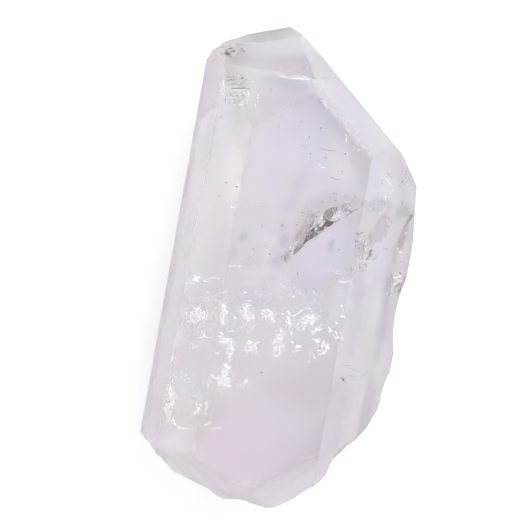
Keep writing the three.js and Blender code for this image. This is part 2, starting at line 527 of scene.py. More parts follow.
def base_reach(directions):
    """How far the broken base is from the heart in each direction, in mm."""
    nearness = np.full(len(directions), FARTHEST_REACH ** -float(RIDGE_SHARPNESS))
    for normal, distance in break_planes():
        nearness += (np.maximum(directions @ normal, 0.0) / distance) ** RIDGE_SHARPNESS
    reach = nearness ** (-1.0 / RIDGE_SHARPNESS)
    points = HEART + directions * reach[:, None]
    for waves, phase, height in RIPPLES:
        reach += height * np.sin(points @ np.array(waves) + phase)
    for centre, radius in BITES:
        offset = np.array(centre) - HEART
        along = directions @ offset
        square = along**2 - (offset @ offset - radius**2)
        entry = along - np.sqrt(np.maximum(square, 0.0))
        met = (square > 0) & (along > 0)
        reach = np.where(met, np.minimum(reach, entry), reach)
    return reach


def crystal_faces():
    """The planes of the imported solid's flat crystal faces: a point and an outward normal each."""
    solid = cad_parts[CAD_NODE].data
    solid.calc_loop_triangles()
    corners = np.array([v.co for v in solid.vertices])
    groups = []
    for triangle in sorted(solid.loop_triangles, key=lambda each: -each.area):
        normal = np.array(triangle.normal)
        level = corners[triangle.vertices[0]] @ normal
        for group in groups:
            if group["normal"] @ normal > SAME_WAY and abs(group["level"] - level) < FLAT_SLACK:
                group["area"] += triangle.area
                break
        else:
            if triangle.area > LEAST_TRIANGLE:
                groups.append({"normal": normal, "level": level, "area": triangle.area})
    faces = []
    for group in groups:
        outermost = (corners @ group["normal"]).max() - group["level"]
        if group["area"] > FLAT_AREA and outermost < FLAT_SLACK:
            faces.append((Vector(group["normal"] * group["level"]), Vector(group["normal"])))
    return faces


def cut_flat(bm, point, normal):
    """Takes off what is beyond a plane and closes the cut with one flat face."""
    cut = bmesh.ops.bisect_plane(
        bm,
        geom=bm.verts[:] + bm.edges[:] + bm.faces[:],
        dist=1e-7,
        plane_co=point,
        plane_no=normal,
        clear_outer=True,
    )
    rim = [e for e in cut["geom_cut"] if isinstance(e, bmesh.types.BMEdge) and e.is_boundary]
    return bmesh.ops.holes_fill(bm, edges=rim, sides=0)["faces"] if rim else []


def worn_edges(bm, flats, wear, draw):
    """Planes that wear the point's upper edges down a little, each by a width of its own."""
    planes = {}
    for edge in bm.edges:
        if len(edge.link_faces) != 2:
            continue
        first, second = (face[flats] for face in edge.link_faces)
        upper = min(face.normal.z for face in edge.link_faces) > 0
        way = (edge.verts[0].co - edge.verts[1].co).normalized()
        if upper and first and second and first != second and abs(way.y) < PRISM_EDGE_WAY:
            planes.setdefault(tuple(sorted((first, second))), edge)
    cuts = []
    for pair in sorted(planes):
        edge = planes[pair]
        first, second = (face.normal for face in edge.link_faces)
        middle = (first + second).normalized()
        half_angle = math.acos(max(-1.0, min(1.0, first.dot(middle))))
        width = wear * draw.uniform(0.6, 1.5)
        depth = 0.5 * width * math.tan(half_angle)
        cuts.append((edge.verts[0].co - middle * depth, middle))
    return cuts


def crystal_body(settings):
    """The whole crystal: a fine lump shaped by the break, then cut by the crystal faces."""
    bm = bmesh.new()
    bmesh.ops.create_icosphere(bm, subdivisions=SPHERE_DETAIL, radius=1.0)
    directions = np.array([v.co for v in bm.verts])
    directions /= np.linalg.norm(directions, axis=1)[:, None]
    reach = base_reach(directions)
    points = HEART + directions * reach[:, None]
    for vert, point, distance in zip(bm.verts, points, reach):
        if distance < BREAK_REACH:
            spot = Vector(point)
            rough = noise.turbulence(spot * HACKLES_PER_MM, 4, False) * settings.break_relief / MM
            point = point - (point - HEART) / np.linalg.norm(point - HEART) * max(rough, 0.0)
        vert.co = Vector(point) * MM
    flats = bm.faces.layers.int.new("flat_number")
    for number, (point, normal) in enumerate(crystal_faces(), start=1):
        for face in cut_flat(bm, point, normal):
            face[flats] = number
    bm.normal_update()
    draw = random.Random(settings.seed)
    for point, normal in worn_edges(bm, flats, settings.edge_wear, draw):
        for face in cut_flat(bm, point, normal):
            face[flats] = -1
    bmesh.ops.recalc_face_normals(bm, faces=bm.faces)
    for face in bm.faces:
        face.smooth = face[flats] == 0
    for edge in bm.edges:
        kinds = [face[flats] for face in edge.link_faces]
        edge.smooth = all(kind == 0 for kind in kinds)
    return bm


def face_frost(face, flats, settings):
    """How frosted a face is: the break all over, the growth faces that the crystal lies on partly."""
    if face[flats] == 0:
        return 1.0
    if face.normal.z < FACING_DOWN:
        return settings.underside_frost
    return 0.0


# Inside the crystal

FLAKES_A_BATCH = 250
FLAKE_STEP = 0.9  # pixels between the flakes of a line
LEAST_DEPTH = 0.25  # mm, how close to the surface a flake may be
GRAZING = 0.3  # what lies under a face that is turned further from the key light is lit through the top face
FLASH_TONE = 0.84  # flakes of this tone and over are bright
FLAKE_THICKNESS = 0.4  # against a flake's width
FEATHER_THICKNESS = 0.29  # thinner flakes flash more
USUAL_TILT = 0.07  # how far flakes stray from the way that they face
# Colours of flakes: dark, middle and light
SMOKY = ((0.03, 0.02, 0.03), (0.36, 0.31, 0.33), (0.97, 0.96, 0.97))
GREY = ((0.03, 0.025, 0.025), (0.32, 0.29, 0.29), (0.95, 0.94, 0.95))
MIXED = ((0.02, 0.02, 0.02), (0.32, 0.3, 0.32), (0.97, 0.97, 0.97))
GLINTING = ((0.05, 0.05, 0.05), (0.8, 0.8, 0.8), (0.98, 0.98, 0.98))
# How many filaments and glints a feather has for each square pixel
FILAMENT_SHARE = 0.12
GLINT_SHARE = 0.3
# Its dots: how many for each square pixel, how far they spread, and their lengths, width and tones
DARK_DOTS = (0.26, 0.26, (0.7, 1.8), 0.55, (0.0, 0.25))
MIST = (1.6, 0.42, (0.4, 0.9), 0.4, (0.85, 1.0))
# From and up to which tone a set keeps its flakes
ALL_TONES = (-9.0, 9.0)
DULL_TONES = (-9.0, FLASH_TONE)
BRIGHT_TONES = (FLASH_TONE, 9.0)


def key_place():
    """Where the large soft light is."""
    return heading(KEY_HEADING) * KEY_REACH + Vector((0, 0, KEY_HEIGHT))


class Sight:
    """Finds the places inside the crystal that the photograph shows, past the bend at its surface."""

    def __init__(self, body, eye, ior):
        corners = [corner.co for corner in body.data.vertices]
        self.tree = BVHTree.FromPolygons(corners, [face.vertices for face in body.data.polygons])
        self.eye = eye
        self.ior = ior

    def bent(self, way, normal):
        """The way on of light that comes in through the surface."""
        facing = -way.dot(normal)
        sine_squared = (1 - facing**2) / self.ior**2
        return way / self.ior + normal * (facing / self.ior - math.sqrt(1 - sine_squared))

    def inside(self, x, y, depth):
        """The point seen at a pixel, depth mm inside, and the ways to the eye and to the key light there."""
        look = (place(x, y, SIGHT_HEIGHT) - self.eye).normalized()
        spot, normal, _, _ = self.tree.ray_cast(self.eye, look)
        if spot is None:
            return None
        inwards = self.bent(look, normal)
        margin = LEAST_DEPTH * MM
        far = self.tree.ray_cast(spot + inwards * margin / 2, inwards)
        if far[0] is None or far[3] < 3 * margin:
            return None
        reach = min(max(depth * MM, margin), far[3] - margin)
        from_key = (spot - key_place()).normalized()
        lit = from_key.dot(normal) < -GRAZING
        to_key = -self.bent(from_key, normal if lit else Vector((0, 0, 1)))
        return spot + inwards * reach, -inwards, to_key


def slanted(x, y, depth, right, down):
    """A depth in mm that is given at one pixel and changes by right and down for each pixel from there."""
    return lambda at_x, at_y: depth + right * (at_x - x) + down * (at_y - y)


def even_depth(depth):
    """The same depth everywhere."""
    return lambda x, y: depth


class Flakes:
    """Gathers small closed flakes, whose places and sizes are in pixels of the photograph.

    Dull flakes face the eye. Bright ones face halfway to the key light, so that they flash.
    """

    def __init__(self, sight, seed, depth, scatter=0.3, kept=ALL_TONES, thickness=FLAKE_THICKNESS):
        self.sight = sight
        self.draw = random.Random(seed)
        self.depth = depth
        self.scatter = scatter
        self.least_tone, self.most_tone = kept
        self.flashing = kept != DULL_TONES
        self.thickness = thickness
        self.matrices = []
        self.tones = []

    def add(self, x, y, angle, length, width, tone, tilt=USUAL_TILT):
        """One flake. Its draws are made even if its tone isn't kept, so that a crack's two sets agree."""
        draw = self.draw
        depth = self.depth(x, y) + draw.gauss(0, self.scatter)
        tilting = Vector([draw.gauss(0, tilt) for _ in range(3)])
        found = self.sight.inside(x, y, depth) if self.least_tone <= tone < self.most_tone else None
        if found is None:
            return
        centre, to_eye, to_key = found
        upwards = (to_eye + to_key).normalized() if self.flashing else to_eye
        upwards = (upwards + tilting).normalized()
        along = heading(angle)
        side = upwards.cross(along).normalized()
        along = side.cross(upwards)
        turn = Matrix((along, side, upwards)).transposed().to_4x4()
        long, wide = length * HALF_PIXEL, width * HALF_PIXEL
        size = Matrix.Diagonal((long, wide, wide * self.thickness, 1.0))
        self.matrices.append(Matrix.Translation(centre) @ turn @ size)
        self.tones.append(min(max(tone, 0.0), 1.0))

    def speck(self, x, y, length, width, tone=1.0):
        """One flake in any direction."""
        self.add(x, y, self.draw.uniform(0, 180), length, width, tone)

    def line(self, width, tone, points, gaps=0.1):
        """A broken line of flakes through some points, slimmer towards its ends."""
        draw = self.draw
        path = smooth_path(points)
        steps = len(path) - 1
        for step, ((x0, y0), (x1, y1)) in enumerate(zip(path, path[1:])):
            if draw.random() < gaps:
                continue
            length = math.hypot(x1 - x0, y1 - y0)
            angle = math.degrees(math.atan2(y0 - y1, x1 - x0)) + draw.gauss(0, 6)
            swell = 0.6 + 0.5 * math.sin(math.pi * (step + 0.5) / steps)
            wide = width * swell * draw.uniform(0.75, 1.25)
            self.add(
                (x0 + x1) / 2 + draw.gauss(0, 0.1),
                (y0 + y1) / 2 + draw.gauss(0, 0.1),
                angle,
                max(2.0 * length, wide),
                wide,
                tone + draw.gauss(0, 0.06),
            )

    def cloud(self, x, y, along, across, angle, count, size, tone, density=1.0, tilt=USUAL_TILT):
        """Flakes of every direction, denser towards the middle of an ellipse."""
        draw = self.draw
        turn = math.radians(angle)
        for _ in range(round(count * density)):
            spot = stepped(x, y, turn, draw.gauss(0, along / 2), draw.gauss(0, across / 2))
            length = size * draw.uniform(0.6, 1.6)
            self.add(
                *spot,
                draw.uniform(0, 180),
                length,
                length * draw.uniform(0.4, 0.8),
                tone + draw.gauss(0, 0.06),
                tilt,
            )

    def patch(self, count, angle, length, width, tone, spread, outline):
        """Slim flakes that fill an outline, all in about one direction."""
        draw = self.draw
        for x, y in spots_within(draw, outline, count):
            self.add(
                x,
                y,
                angle + draw.gauss(0, 10),
                length * draw.uniform(0.5, 1.4),
                width * draw.uniform(0.6, 1.4),
                tone + draw.uniform(-spread, spread),
            )

    def squiggles(self, count, angle, length, width, tone, spread, outline):
        """Short curved lines inside an outline."""
        draw = self.draw
        for x, y in spots_within(draw, outline, count):
            way = math.radians(angle + draw.gauss(0, 30))
            bend = math.radians(draw.gauss(0, 55))
            half = length * draw.uniform(0.3, 0.7)
            points = [stepped(x, y, way, -half), (x, y), stepped(x, y, way + bend, half)]
            wide = width * draw.uniform(0.6, 1.4)
            self.line(wide, tone + draw.uniform(-spread, spread), points, gaps=0.15)

    def stripes(self, upper, lower, count, width, tones):
        """Lines from one side of a patch to the other, dark and light by turns."""
        upper, lower = smooth_path(upper), smooth_path(lower)
        lines = count * len(tones)
        for number in range(lines):
            share = number / (lines - 1)
            ends = [side[round(share * (len(side) - 1))] for side in (upper, lower)]
            self.line(width, tones[number % len(tones)], ends, gaps=0.0)

    def tuft(self, x, y, along, across, angle, strength=1.0):
        """A feather of a healed crack: filaments that fan out, glints and dark dots, in a fine mist."""
        draw = self.draw
        turn = math.radians(angle)
        area = along * across * strength

        def spot(reach):
            return stepped(x, y, turn, draw.gauss(0, along * reach), draw.gauss(0, across * reach))

        for _ in range(max(1, round(area * FILAMENT_SHARE))):
            start = spot(0.25)
            way = math.radians(angle + draw.gauss(0, 35))
            bend = math.radians(draw.gauss(0, 40))
            length = draw.uniform(1.0, 3.0)
            middle = stepped(*start, way, length)
            end = stepped(*middle, way + bend, length)
            width = draw.uniform(0.4, 0.9)
            self.line(width, draw.uniform(0.95, 1.0), [start, middle, end], gaps=0.15)
        for _ in range(round(area * GLINT_SHARE)):
            glint = spot(0.28)
            length = min(0.7 + draw.expovariate(1.4), 3.0)
            self.add(*glint, angle + draw.gauss(0, 45), length, draw.uniform(0.5, 1.0), 1.0)
        for share, reach, lengths, width, tones in (DARK_DOTS, MIST):
            for _ in range(round(area * share)):
                dot = spot(reach)
                any_way = draw.uniform(0, 180)
                self.add(*dot, any_way, draw.uniform(*lengths), width, draw.uniform(*tones))

    def dust(self, count, area, tones):
        """The smallest flakes, anywhere in a rectangle."""
        draw = self.draw
        left, top, right, bottom = area
        for _ in range(count):
            self.add(
                draw.uniform(left, right),
                draw.uniform(top, bottom),
                draw.uniform(0, 180),
                draw.uniform(0.5, 1.3),
                draw.uniform(0.4, 0.9),
                draw.choice(tones),
            )

    def run(self, *steps):
        """Runs each step: a method, a table whose rows it takes one by one, and settings for them all."""
        for method, rows, settings in steps:
            for row in rows:
                method(self, *row, **settings)

    def piece(self, name, material):
        """Makes all the flakes into one object."""
        whole = bmesh.new()
        for start in range(0, len(self.matrices), FLAKES_A_BATCH):
            batch = bmesh.new()
            for matrix in self.matrices[start : start + FLAKES_A_BATCH]:
                bmesh.ops.create_icosphere(batch, subdivisions=1, radius=1.0, matrix=matrix)
            mesh = bpy.data.meshes.new("batch")
            batch.to_mesh(mesh)
            batch.free()
            whole.from_mesh(mesh)
            bpy.data.meshes.remove(mesh)
        made = new_piece(name, whole, material)
        faces_each = len(made.data.polygons) // len(self.matrices)
        add_face_values(made, "tone", np.repeat(self.tones, faces_each))


def stepped(x, y, way, along, aside=0.0):
    """The pixel that is so many pixels along a way, in radians, from another, and so many to its side."""
    return (
        x + along * math.cos(way) - aside * math.sin(way),
        y - along * math.sin(way) - aside * math.cos(way),
    )


def steps_between(start, end):
    """How many flakes a line takes from one pixel to another."""
    return max(1, round(math.dist(start, end) / FLAKE_STEP))


def curve_through(a, b, c, d, t):
    """The value of a smooth curve through four, a share t of the way from the second to the third."""
    return 0.5 * (2 * b + (c - a) * t + (2 * a - 5 * b + 4 * c - d) * t**2 + (3 * b - a - 3 * c + d) * t**3)


def smooth_path(points):
    """A smooth run of points through the given ones."""
    if len(points) == 2:
        (x0, y0), (x1, y1) = points
        steps = steps_between(*points)
        return [(x0 + (x1 - x0) * i / steps, y0 + (y1 - y0) * i / steps) for i in range(steps + 1)]
    ends = [points[0], *points, points[-1]]
    path = [points[0]]
    for before, start, end, after in zip(ends, ends[1:], ends[2:], ends[3:]):
        steps = steps_between(start, end)
        for step in range(1, steps + 1):
            path.append(tuple(curve_through(*four, step / steps) for four in zip(before, start, end, after)))
    return path


def within(outline, x, y):
    """Whether a pixel is inside an outline."""
    inside = False
    for (x0, y0), (x1, y1) in zip(outline, outline[1:] + outline[:1]):
        if (y0 > y) != (y1 > y) and x < x0 + (y - y0) * (x1 - x0) / (y1 - y0):
            inside = not inside
    return inside


def spots_within(draw, outline, count):
    """Random pixels inside an outline."""
    xs = [x for x, _ in outline]
    ys = [y for _, y in outline]
    while count:
        x = draw.uniform(min(xs), max(xs))
        y = draw.uniform(min(ys), max(ys))
        if within(outline, x, y):
            count -= 1
            yield x, y


def glint_material():
    """The mirror-like films of open cracks, shared by every bright piece."""
    made = bpy.data.materials.get("crack_glints")
    return made or flake_material("crack_glints", *GLINTING, roughness=0.15, metallic=1.0)


def current_sight(context):
    """What the scene's camera sees inside the finished body."""
    body = bpy.data.objects["quartz_body"]
    return Sight(body, context.scene.camera.location, context.scene.quartz.ior)


def make_cracks(context, steps, *, seed_step, depth, scatter, dull, bright):
    """Makes two pieces from the same draws: dull is a name and a material, and bright is a name."""
    sight = current_sight(context)
    for kept, name, material in ((DULL_TONES, *dull), (BRIGHT_TONES, bright, glint_material())):
        flakes = Flakes(sight, context.scene.quartz.seed + seed_step, depth, scatter, kept)
        flakes.run(*steps)
        flakes.piece(name, material)


# The smoky fracture, whose straight lower edge comes out at the top face
# Lines: width, tone from 0, dark, to 1, light, and their points
FRACTURE_LINES = [
    (0.9, 0.5, [(292.8, 254.9), (297.4, 251.7), (300.3, 248.9), (303.9, 245.3)]),
    (1.6, 0.2, [(302.8, 244.2), (304.6, 242.8), (306.2, 241)]),
    (1.4, 0.1, [(304, 243.2), (305.6, 241.6), (307.4, 239.8)]),
    (1.0, 0.3, [(306.6, 241.2), (308.6, 239.8), (310.2, 238.8)]),
    (1.6, 0.2, [(309.2, 239), (311.4, 238), (313.4, 236.8)]),
    (1.0, 0.3, [(312.6, 237.4), (315, 235.9), (318.6, 234)]),
    (0.6, 0.62, [(318.6, 234), (322, 231.4), (325.6, 228)]),
    (0.9, 0.36, [(328.6, 226.6), (331.6, 224.8), (334, 222.8), (337, 220.6), (340, 219)]),
    (1.0, 0.55, [(346.4, 216), (350.4, 212.6), (353, 211.2), (358.4, 208.6)]),
    (1.6, 0.5, [(350, 212), (353, 211)]),
    (1.5, 0.4, [(307.6, 235.6), (308.8, 233.4), (310.6, 231.4)]),
    (0.7, 0.52, [(293.8, 253.4), (296.2, 247.4), (298.6, 243.6)]),
    (0.6, 0.55, [(295.6, 252.6), (298.6, 248.4), (300.6, 244)]),
    (0.6, 0.58, [(297, 252), (300.4, 247.8), (303, 245)]),
    (0.8, 0.55, [(304.4, 239.6), (306.4, 234.4), (308, 230.4)]),
    (0.9, 0.5, [(309.4, 225.8), (312, 222.4), (314.8, 220.6)]),
    (0.8, 0.55, [(313.4, 226.8), (316, 224.2), (318.4, 222.9)]),
    (0.8, 0.6, [(310.4, 221.8), (312.4, 220.4), (314.5, 219.4)]),
    (1.0, 0.2, [(323.4, 218), (324.8, 213.4), (327.6, 210.2), (331.4, 208.4), (337, 207)]),
    (0.7, 0.36, [(327, 220.8), (330.2, 218.6), (332.4, 215.4), (335.4, 212)]),
    (0.7, 0.5, [(336, 208.4), (338, 206.8), (339.6, 207.2)]),
    (0.6, 0.74, [(303.8, 211.2), (309, 211), (315, 211.7)]),
    (0.6, 0.74, [(304.5, 213.8), (309, 213.4), (314.6, 213.6)]),
]
# Bright lines between them
FRACTURE_GAPS = [
    (1.0, 1.0, [(292, 250.4), (293.6, 247.4), (295.4, 244.8)]),
    (0.8, 1.0, [(296.2, 242.8), (297.6, 240.8), (298.8, 239.2)]),
    (0.9, 1.0, [(289.6, 249), (290.6, 247.6), (291.2, 246)]),
    (0.6, 0.95, [(291.8, 254.6), (293.4, 251.4), (295.4, 248.2)]),
    (0.7, 0.9, [(298.4, 248), (300.2, 245.2), (301.4, 243)]),
    (1.5, 1.0, [(321, 226.2), (322.4, 224.4), (323.6, 222.4)]),
    (0.9, 0.95, [(318.8, 222), (320.6, 219.6), (323, 218)]),
    (0.9, 0.95, [(319.4, 218.4), (321.4, 216.8), (323.2, 214.6)]),
    (0.8, 0.95, [(301.8, 235), (303.4, 232), (305.4, 229)]),
    (0.5, 0.9, [(304.6, 240), (306, 236.6), (307, 233.4)]),
    (0.9, 1.0, [(311.4, 227.8), (313, 226), (315.2, 224.2)]),
    (0.6, 0.9, [(313.6, 232.6), (315.4, 230), (317.4, 228.4)]),
    (0.5, 0.9, [(314, 235.8), (316.6, 233.6), (320, 232)]),
    (1.3, 1.0, [(331.6, 219.4), (333.8, 220), (336.6, 219.4)]),
    (0.8, 0.95, [(333.4, 217.2), (336.6, 216.6), (340.2, 215.2)]),
    (0.6, 0.95, [(336, 214.4), (338.6, 212.6), (341, 211.4)]),
    (1.0, 0.95, [(342.4, 219.4), (343.8, 219.2)]),
]
# Patches: how many flakes, their direction, length, width, tone, its spread, and the outline
FRACTURE_PATCHES = [
    (84, 50, 2.4, 0.7, 0.54, 0.2,
     [(292.6, 253.5), (295.7, 248), (299.5, 244.2), (303.4, 243), (301, 248), (296.5, 252)]),
    (110, 38, 2.4, 0.9, 0.18, 0.18,
     [(323.6, 224.2), (327.2, 220.4), (333.8, 221.9), (331.8, 224.6), (328, 227), (324.9, 226.2)]),
    (74, 38, 2.2, 0.9, 0.38, 0.18,
     [(316.5, 230.4), (318.8, 227.3), (324.2, 225), (324.9, 226.5), (321.8, 231.2), (317.2, 231.6)]),
    (26, 30, 1.8, 0.9, 0.14, 0.1,
     [(310.2, 230.6), (312.4, 228.6), (314.6, 228.2), (313.8, 231), (311, 231.8)]),
    (64, 55, 2.0, 0.7, 0.34, 0.2,
     [(307.2, 233.5), (311, 231.2), (315.7, 230.4), (316.5, 233.5), (311.8, 236.5), (308.4, 238.4)]),
    (44, 60, 1.8, 0.7, 0.5, 0.14,
     [(309.2, 225.4), (311.8, 222.4), (314.6, 223.2), (312, 226.8), (309.8, 228)]),
    (30, 50, 1.8, 0.7, 0.5, 0.14,
     [(315.6, 228), (316.4, 226), (319, 223.8), (319.4, 225.6), (317.4, 227.8)]),
    (60, 60, 2.4, 0.5, 0.7, 0.2, [(302, 242), (304.6, 232), (309, 227), (310.4, 230), (306.6, 239.6)]),
    (44, 60, 1.8, 0.7, 0.34, 0.16, [(303.8, 241.6), (307, 235.4), (309, 236.8), (306.6, 240.8)]),
    (66, 50, 2.2, 0.6, 0.42, 0.22,
     [(309, 237.6), (312, 233.2), (317.2, 231.8), (320.4, 232), (315.4, 235), (310.6, 238)]),
    (44, 55, 1.8, 0.8, 0.66, 0.1,
     [(282.6, 256.5), (285.7, 253.2), (289.5, 253.2), (288.4, 258), (285, 260.6)]),
    (8, 60, 1.6, 0.9, 0.58, 0.1, [(284, 258.4), (286, 257.6), (286.8, 260), (285, 260.8)]),
    (110, 55, 1.6, 0.5, 0.72, 0.12,
     [(294, 241), (300, 228), (306, 220), (312, 215), (317, 217), (308, 228), (300, 239)]),
    (40, 15, 1.2, 0.5, 0.8, 0.06, [(326, 252), (330, 239), (333.5, 239), (329, 253)]),
    (34, 60, 1.6, 0.6, 0.7, 0.12, [(341, 212), (341.6, 205.6), (346, 203), (348.6, 206), (347.4, 211.6)]),
]
# The lens has stripes, which run from its upper left side to its lower right one
LENS_UPPER = [(323.2, 219), (324.4, 213.4), (327.4, 210), (331.6, 208.2), (337, 207.2)]
LENS_LOWER = [(326.4, 221), (328.6, 219.8), (331, 217.4), (333.4, 213.8), (337, 210.6)]
LENS_STRIPES = 8  # of each tone
LENS_STRIPE_WIDTH = 0.95
LENS_TONES = (0.12, 0.62)
# Short curved lines: how many, their direction, length, width, tone, its spread, and the outline
FRACTURE_SQUIGGLES = [
    (12, 40, 3.4, 0.6, 0.6, 0.08, [(298, 228), (304, 216), (316, 208), (320, 213), (308, 222)]),
    (8, 80, 3.0, 0.7, 0.6, 0.1, [(341, 213), (341, 205), (350, 203), (350, 211)]),
    (7, 30, 3.4, 0.6, 0.66, 0.08, [(325, 206), (330, 194), (356, 192), (358, 203), (345, 203)]),
    (6, 60, 2.8, 0.7, 0.6, 0.1, [(279, 263), (282, 250), (290, 246), (291, 252), (286, 262)]),
    (10, 60, 3.0, 0.45, 0.95, 0.05,
     [(294, 246), (300, 236), (308, 226), (318, 219), (312, 230), (302, 240)]),
    (6, 60, 3.0, 0.7, 0.95, 0.05, [(340, 213), (341, 203), (350, 200), (352, 210)]),
]
# Small marks round the fracture: place, direction, length, width, tone
FRACTURE_MARKS = [
    (293.2, 244.4, 30, 1.8, 1.6, 1.0), (302.4, 212.6, 30, 2.0, 1.3, 0.46),
    (316.4, 216.4, 0, 2.0, 1.6, 0.42), (296.7, 224.8, 20, 1.8, 1.3, 0.42),
    (282.1, 225.2, 75, 3.2, 1.2, 0.32), (322.8, 202.3, 5, 3.2, 1.0, 0.56),
    (335.3, 200.3, 0, 3.2, 1.0, 0.42), (334, 193.3, 35, 3.6, 1.0, 0.45), (338.8, 249.7, 60, 2.0, 1.3, 0.4),
    (357, 255.5, 0, 1.8, 1.4, 0.45), (290.6, 251.2, 45, 2.4, 1.4, 0.16), (306.4, 205, 60, 1.8, 0.9, 0.66),
    (296.8, 240.8, 60, 2.6, 0.9, 0.36),
]
# Thin loops beside the lens
FRACTURE_SCRIBBLES = [
    (0.8, 0.55, [(341.5, 211.5), (342.5, 208), (345, 206), (345.5, 209), (343, 211.5)]),
    (0.8, 0.58, [(345.5, 212), (347.5, 209.5), (348.5, 206.5)]),
    (0.7, 0.6, [(341, 206.5), (344, 204.5), (346, 203)]),
    (0.7, 0.62, [(354, 194), (355.5, 197), (357.5, 199)]),
]

# The cracks and cavities under the right-hand face, in tables like the fracture's
SIDE_LINES = [
    (1.5, 0.56, [(357, 235.4), (359.2, 233.3), (364, 232.5)]),
    (2.0, 0.58, [(357.4, 248.4), (360, 247.8), (362, 247.6)]),
    (1.1, 0.46, [(363.6, 245.5), (363.2, 252), (362.6, 259)]),
    (2.2, 0.34, [(371.6, 249.4), (370.6, 252), (369.4, 255.5)]),
    (1.8, 0.36, [(368.4, 256.5), (367.2, 258.6), (366, 260)]),
    (2.2, 0.54, [(365, 262), (365.6, 265), (366.6, 267.5)]),
    (0.9, 0.44, [(372.3, 260), (374.3, 258.4), (376.6, 256.2)]),
    (0.8, 0.52, [(374.2, 260.8), (376.2, 259), (378.2, 257.4)]),
    (1.2, 0.66, [(381, 250.6), (384, 249), (388, 247.6)]),
    (1.6, 0.64, [(383, 214.8), (387.5, 217.2), (391, 220.3), (392.7, 223.6)]),
    (2.2, 0.54, [(387.4, 225.2), (388.6, 226.6), (389.8, 228)]),
    (1.0, 0.68, [(368.6, 203), (370, 207), (372.6, 210.5)]),
    (1.0, 0.68, [(377, 197), (378, 200), (378.6, 203)]),
    (1.4, 0.66, [(381.6, 200.8), (384, 202), (386, 203.6)]),
    (3.2, 0.54, [(413, 214), (411, 216.4), (409, 219.6)]),
    (1.9, 0.4, [(408.6, 219.5), (407.9, 221.5), (406.8, 223.4)]),
    (1.5, 0.46, [(405.4, 224), (404.4, 227), (402.4, 230.6)]),
    (0.8, 0.66, [(401.9, 206), (401.6, 212), (401.4, 219)]),
    (1.6, 0.54, [(401.5, 200.8), (402.4, 203), (403, 204.6)]),
    (1.2, 0.6, [(386.5, 173), (389, 174.4), (391.5, 177.5)]),
    (0.9, 0.38, [(404, 283), (402, 286.4), (399.8, 291)]),
    (0.9, 0.48, [(390.6, 274), (392, 278), (393.2, 283)]),
    (0.8, 0.54, [(386.8, 277), (388, 281), (387.5, 286)]),
    (1.4, 0.38, [(389.2, 291.5), (388.8, 293.6), (389.6, 296)]),
    (1.0, 0.7, [(393, 264.6), (395, 264.2), (396.8, 264.8)]),
]
SIDE_GAPS = [
    (1.4, 1.0, [(366.6, 243.5), (366.2, 247), (365.8, 251.5)]),
    (1.2, 1.0, [(364.2, 255.5), (363.8, 258.5), (364.6, 261.5)]),
    (1.0, 0.95, [(373.5, 261.5), (376, 259.5), (378.5, 258)]),
    (1.0, 0.95, [(372.9, 255.5), (374.5, 253.6), (376.5, 252)]),
    (2.0, 1.0, [(393, 276.4), (396.5, 277.6), (400, 275.8)]),
    (1.8, 1.0, [(397.5, 282), (400.2, 280.6), (403.2, 280.6)]),
    (1.8, 1.0, [(396, 291), (397.6, 289), (399.2, 287.4)]),
    (1.2, 0.95, [(389.5, 296), (391, 293.5)]),
    (1.2, 0.95, [(394.5, 283), (397, 284.8)]),
    (1.0, 0.9, [(385, 178), (390, 184), (393, 192)]),
    (1.0, 0.85, [(376, 214), (380, 213), (384, 213.6)]),
]
SIDE_MARKS = [
    (357.8, 241.7, 80, 2.2, 1.6, 0.4), (359, 247.8, 10, 3.4, 1.3, 0.52), (357, 255.6, 0, 2.4, 1.8, 0.55),
    (353.4, 269.5, 70, 3.4, 1.6, 0.6), (359.8, 267.6, 60, 2.6, 1.6, 0.56),
    (402.6, 181.8, 25, 3.4, 1.8, 0.25), (404.2, 184.4, 60, 2.0, 1.2, 0.35),
    (402.2, 202.4, 70, 4.0, 2.4, 0.56), (401, 261.6, 60, 2.6, 1.3, 0.36),
    (400.4, 273.3, 10, 3.0, 1.6, 0.12), (396, 285.6, 60, 3.6, 1.8, 0.34), (402, 284.8, 50, 3.6, 1.8, 0.26),
    (399.8, 290.6, 50, 3.0, 1.6, 0.28), (404.3, 279.4, 60, 2.6, 1.5, 0.26), (394, 277.5, 70, 2.0, 0.9, 0.5),
    (397.6, 281, 60, 2.2, 0.9, 0.46), (405.9, 232.6, 0, 2.6, 1.2, 1.0), (405, 234, 80, 2.2, 1.0, 1.0),
    (407, 234, 100, 2.2, 1.0, 1.0), (405.9, 235.4, 0, 2.4, 1.0, 1.0), (397.5, 248.8, 0, 2.8, 2.4, 1.0),
    (405, 181, 20, 2.6, 1.4, 1.0), (401.2, 264.2, 40, 2.0, 1.2, 0.95), (374.5, 186, 30, 1.4, 1.0, 0.5),
    (382.6, 183.6, 20, 3.0, 1.4, 0.6), (398.5, 190.5, 20, 2.6, 1.0, 0.62), (402, 171.5, 50, 3.0, 1.2, 0.62),
    (405, 175, 40, 2.4, 1.0, 0.95),
]
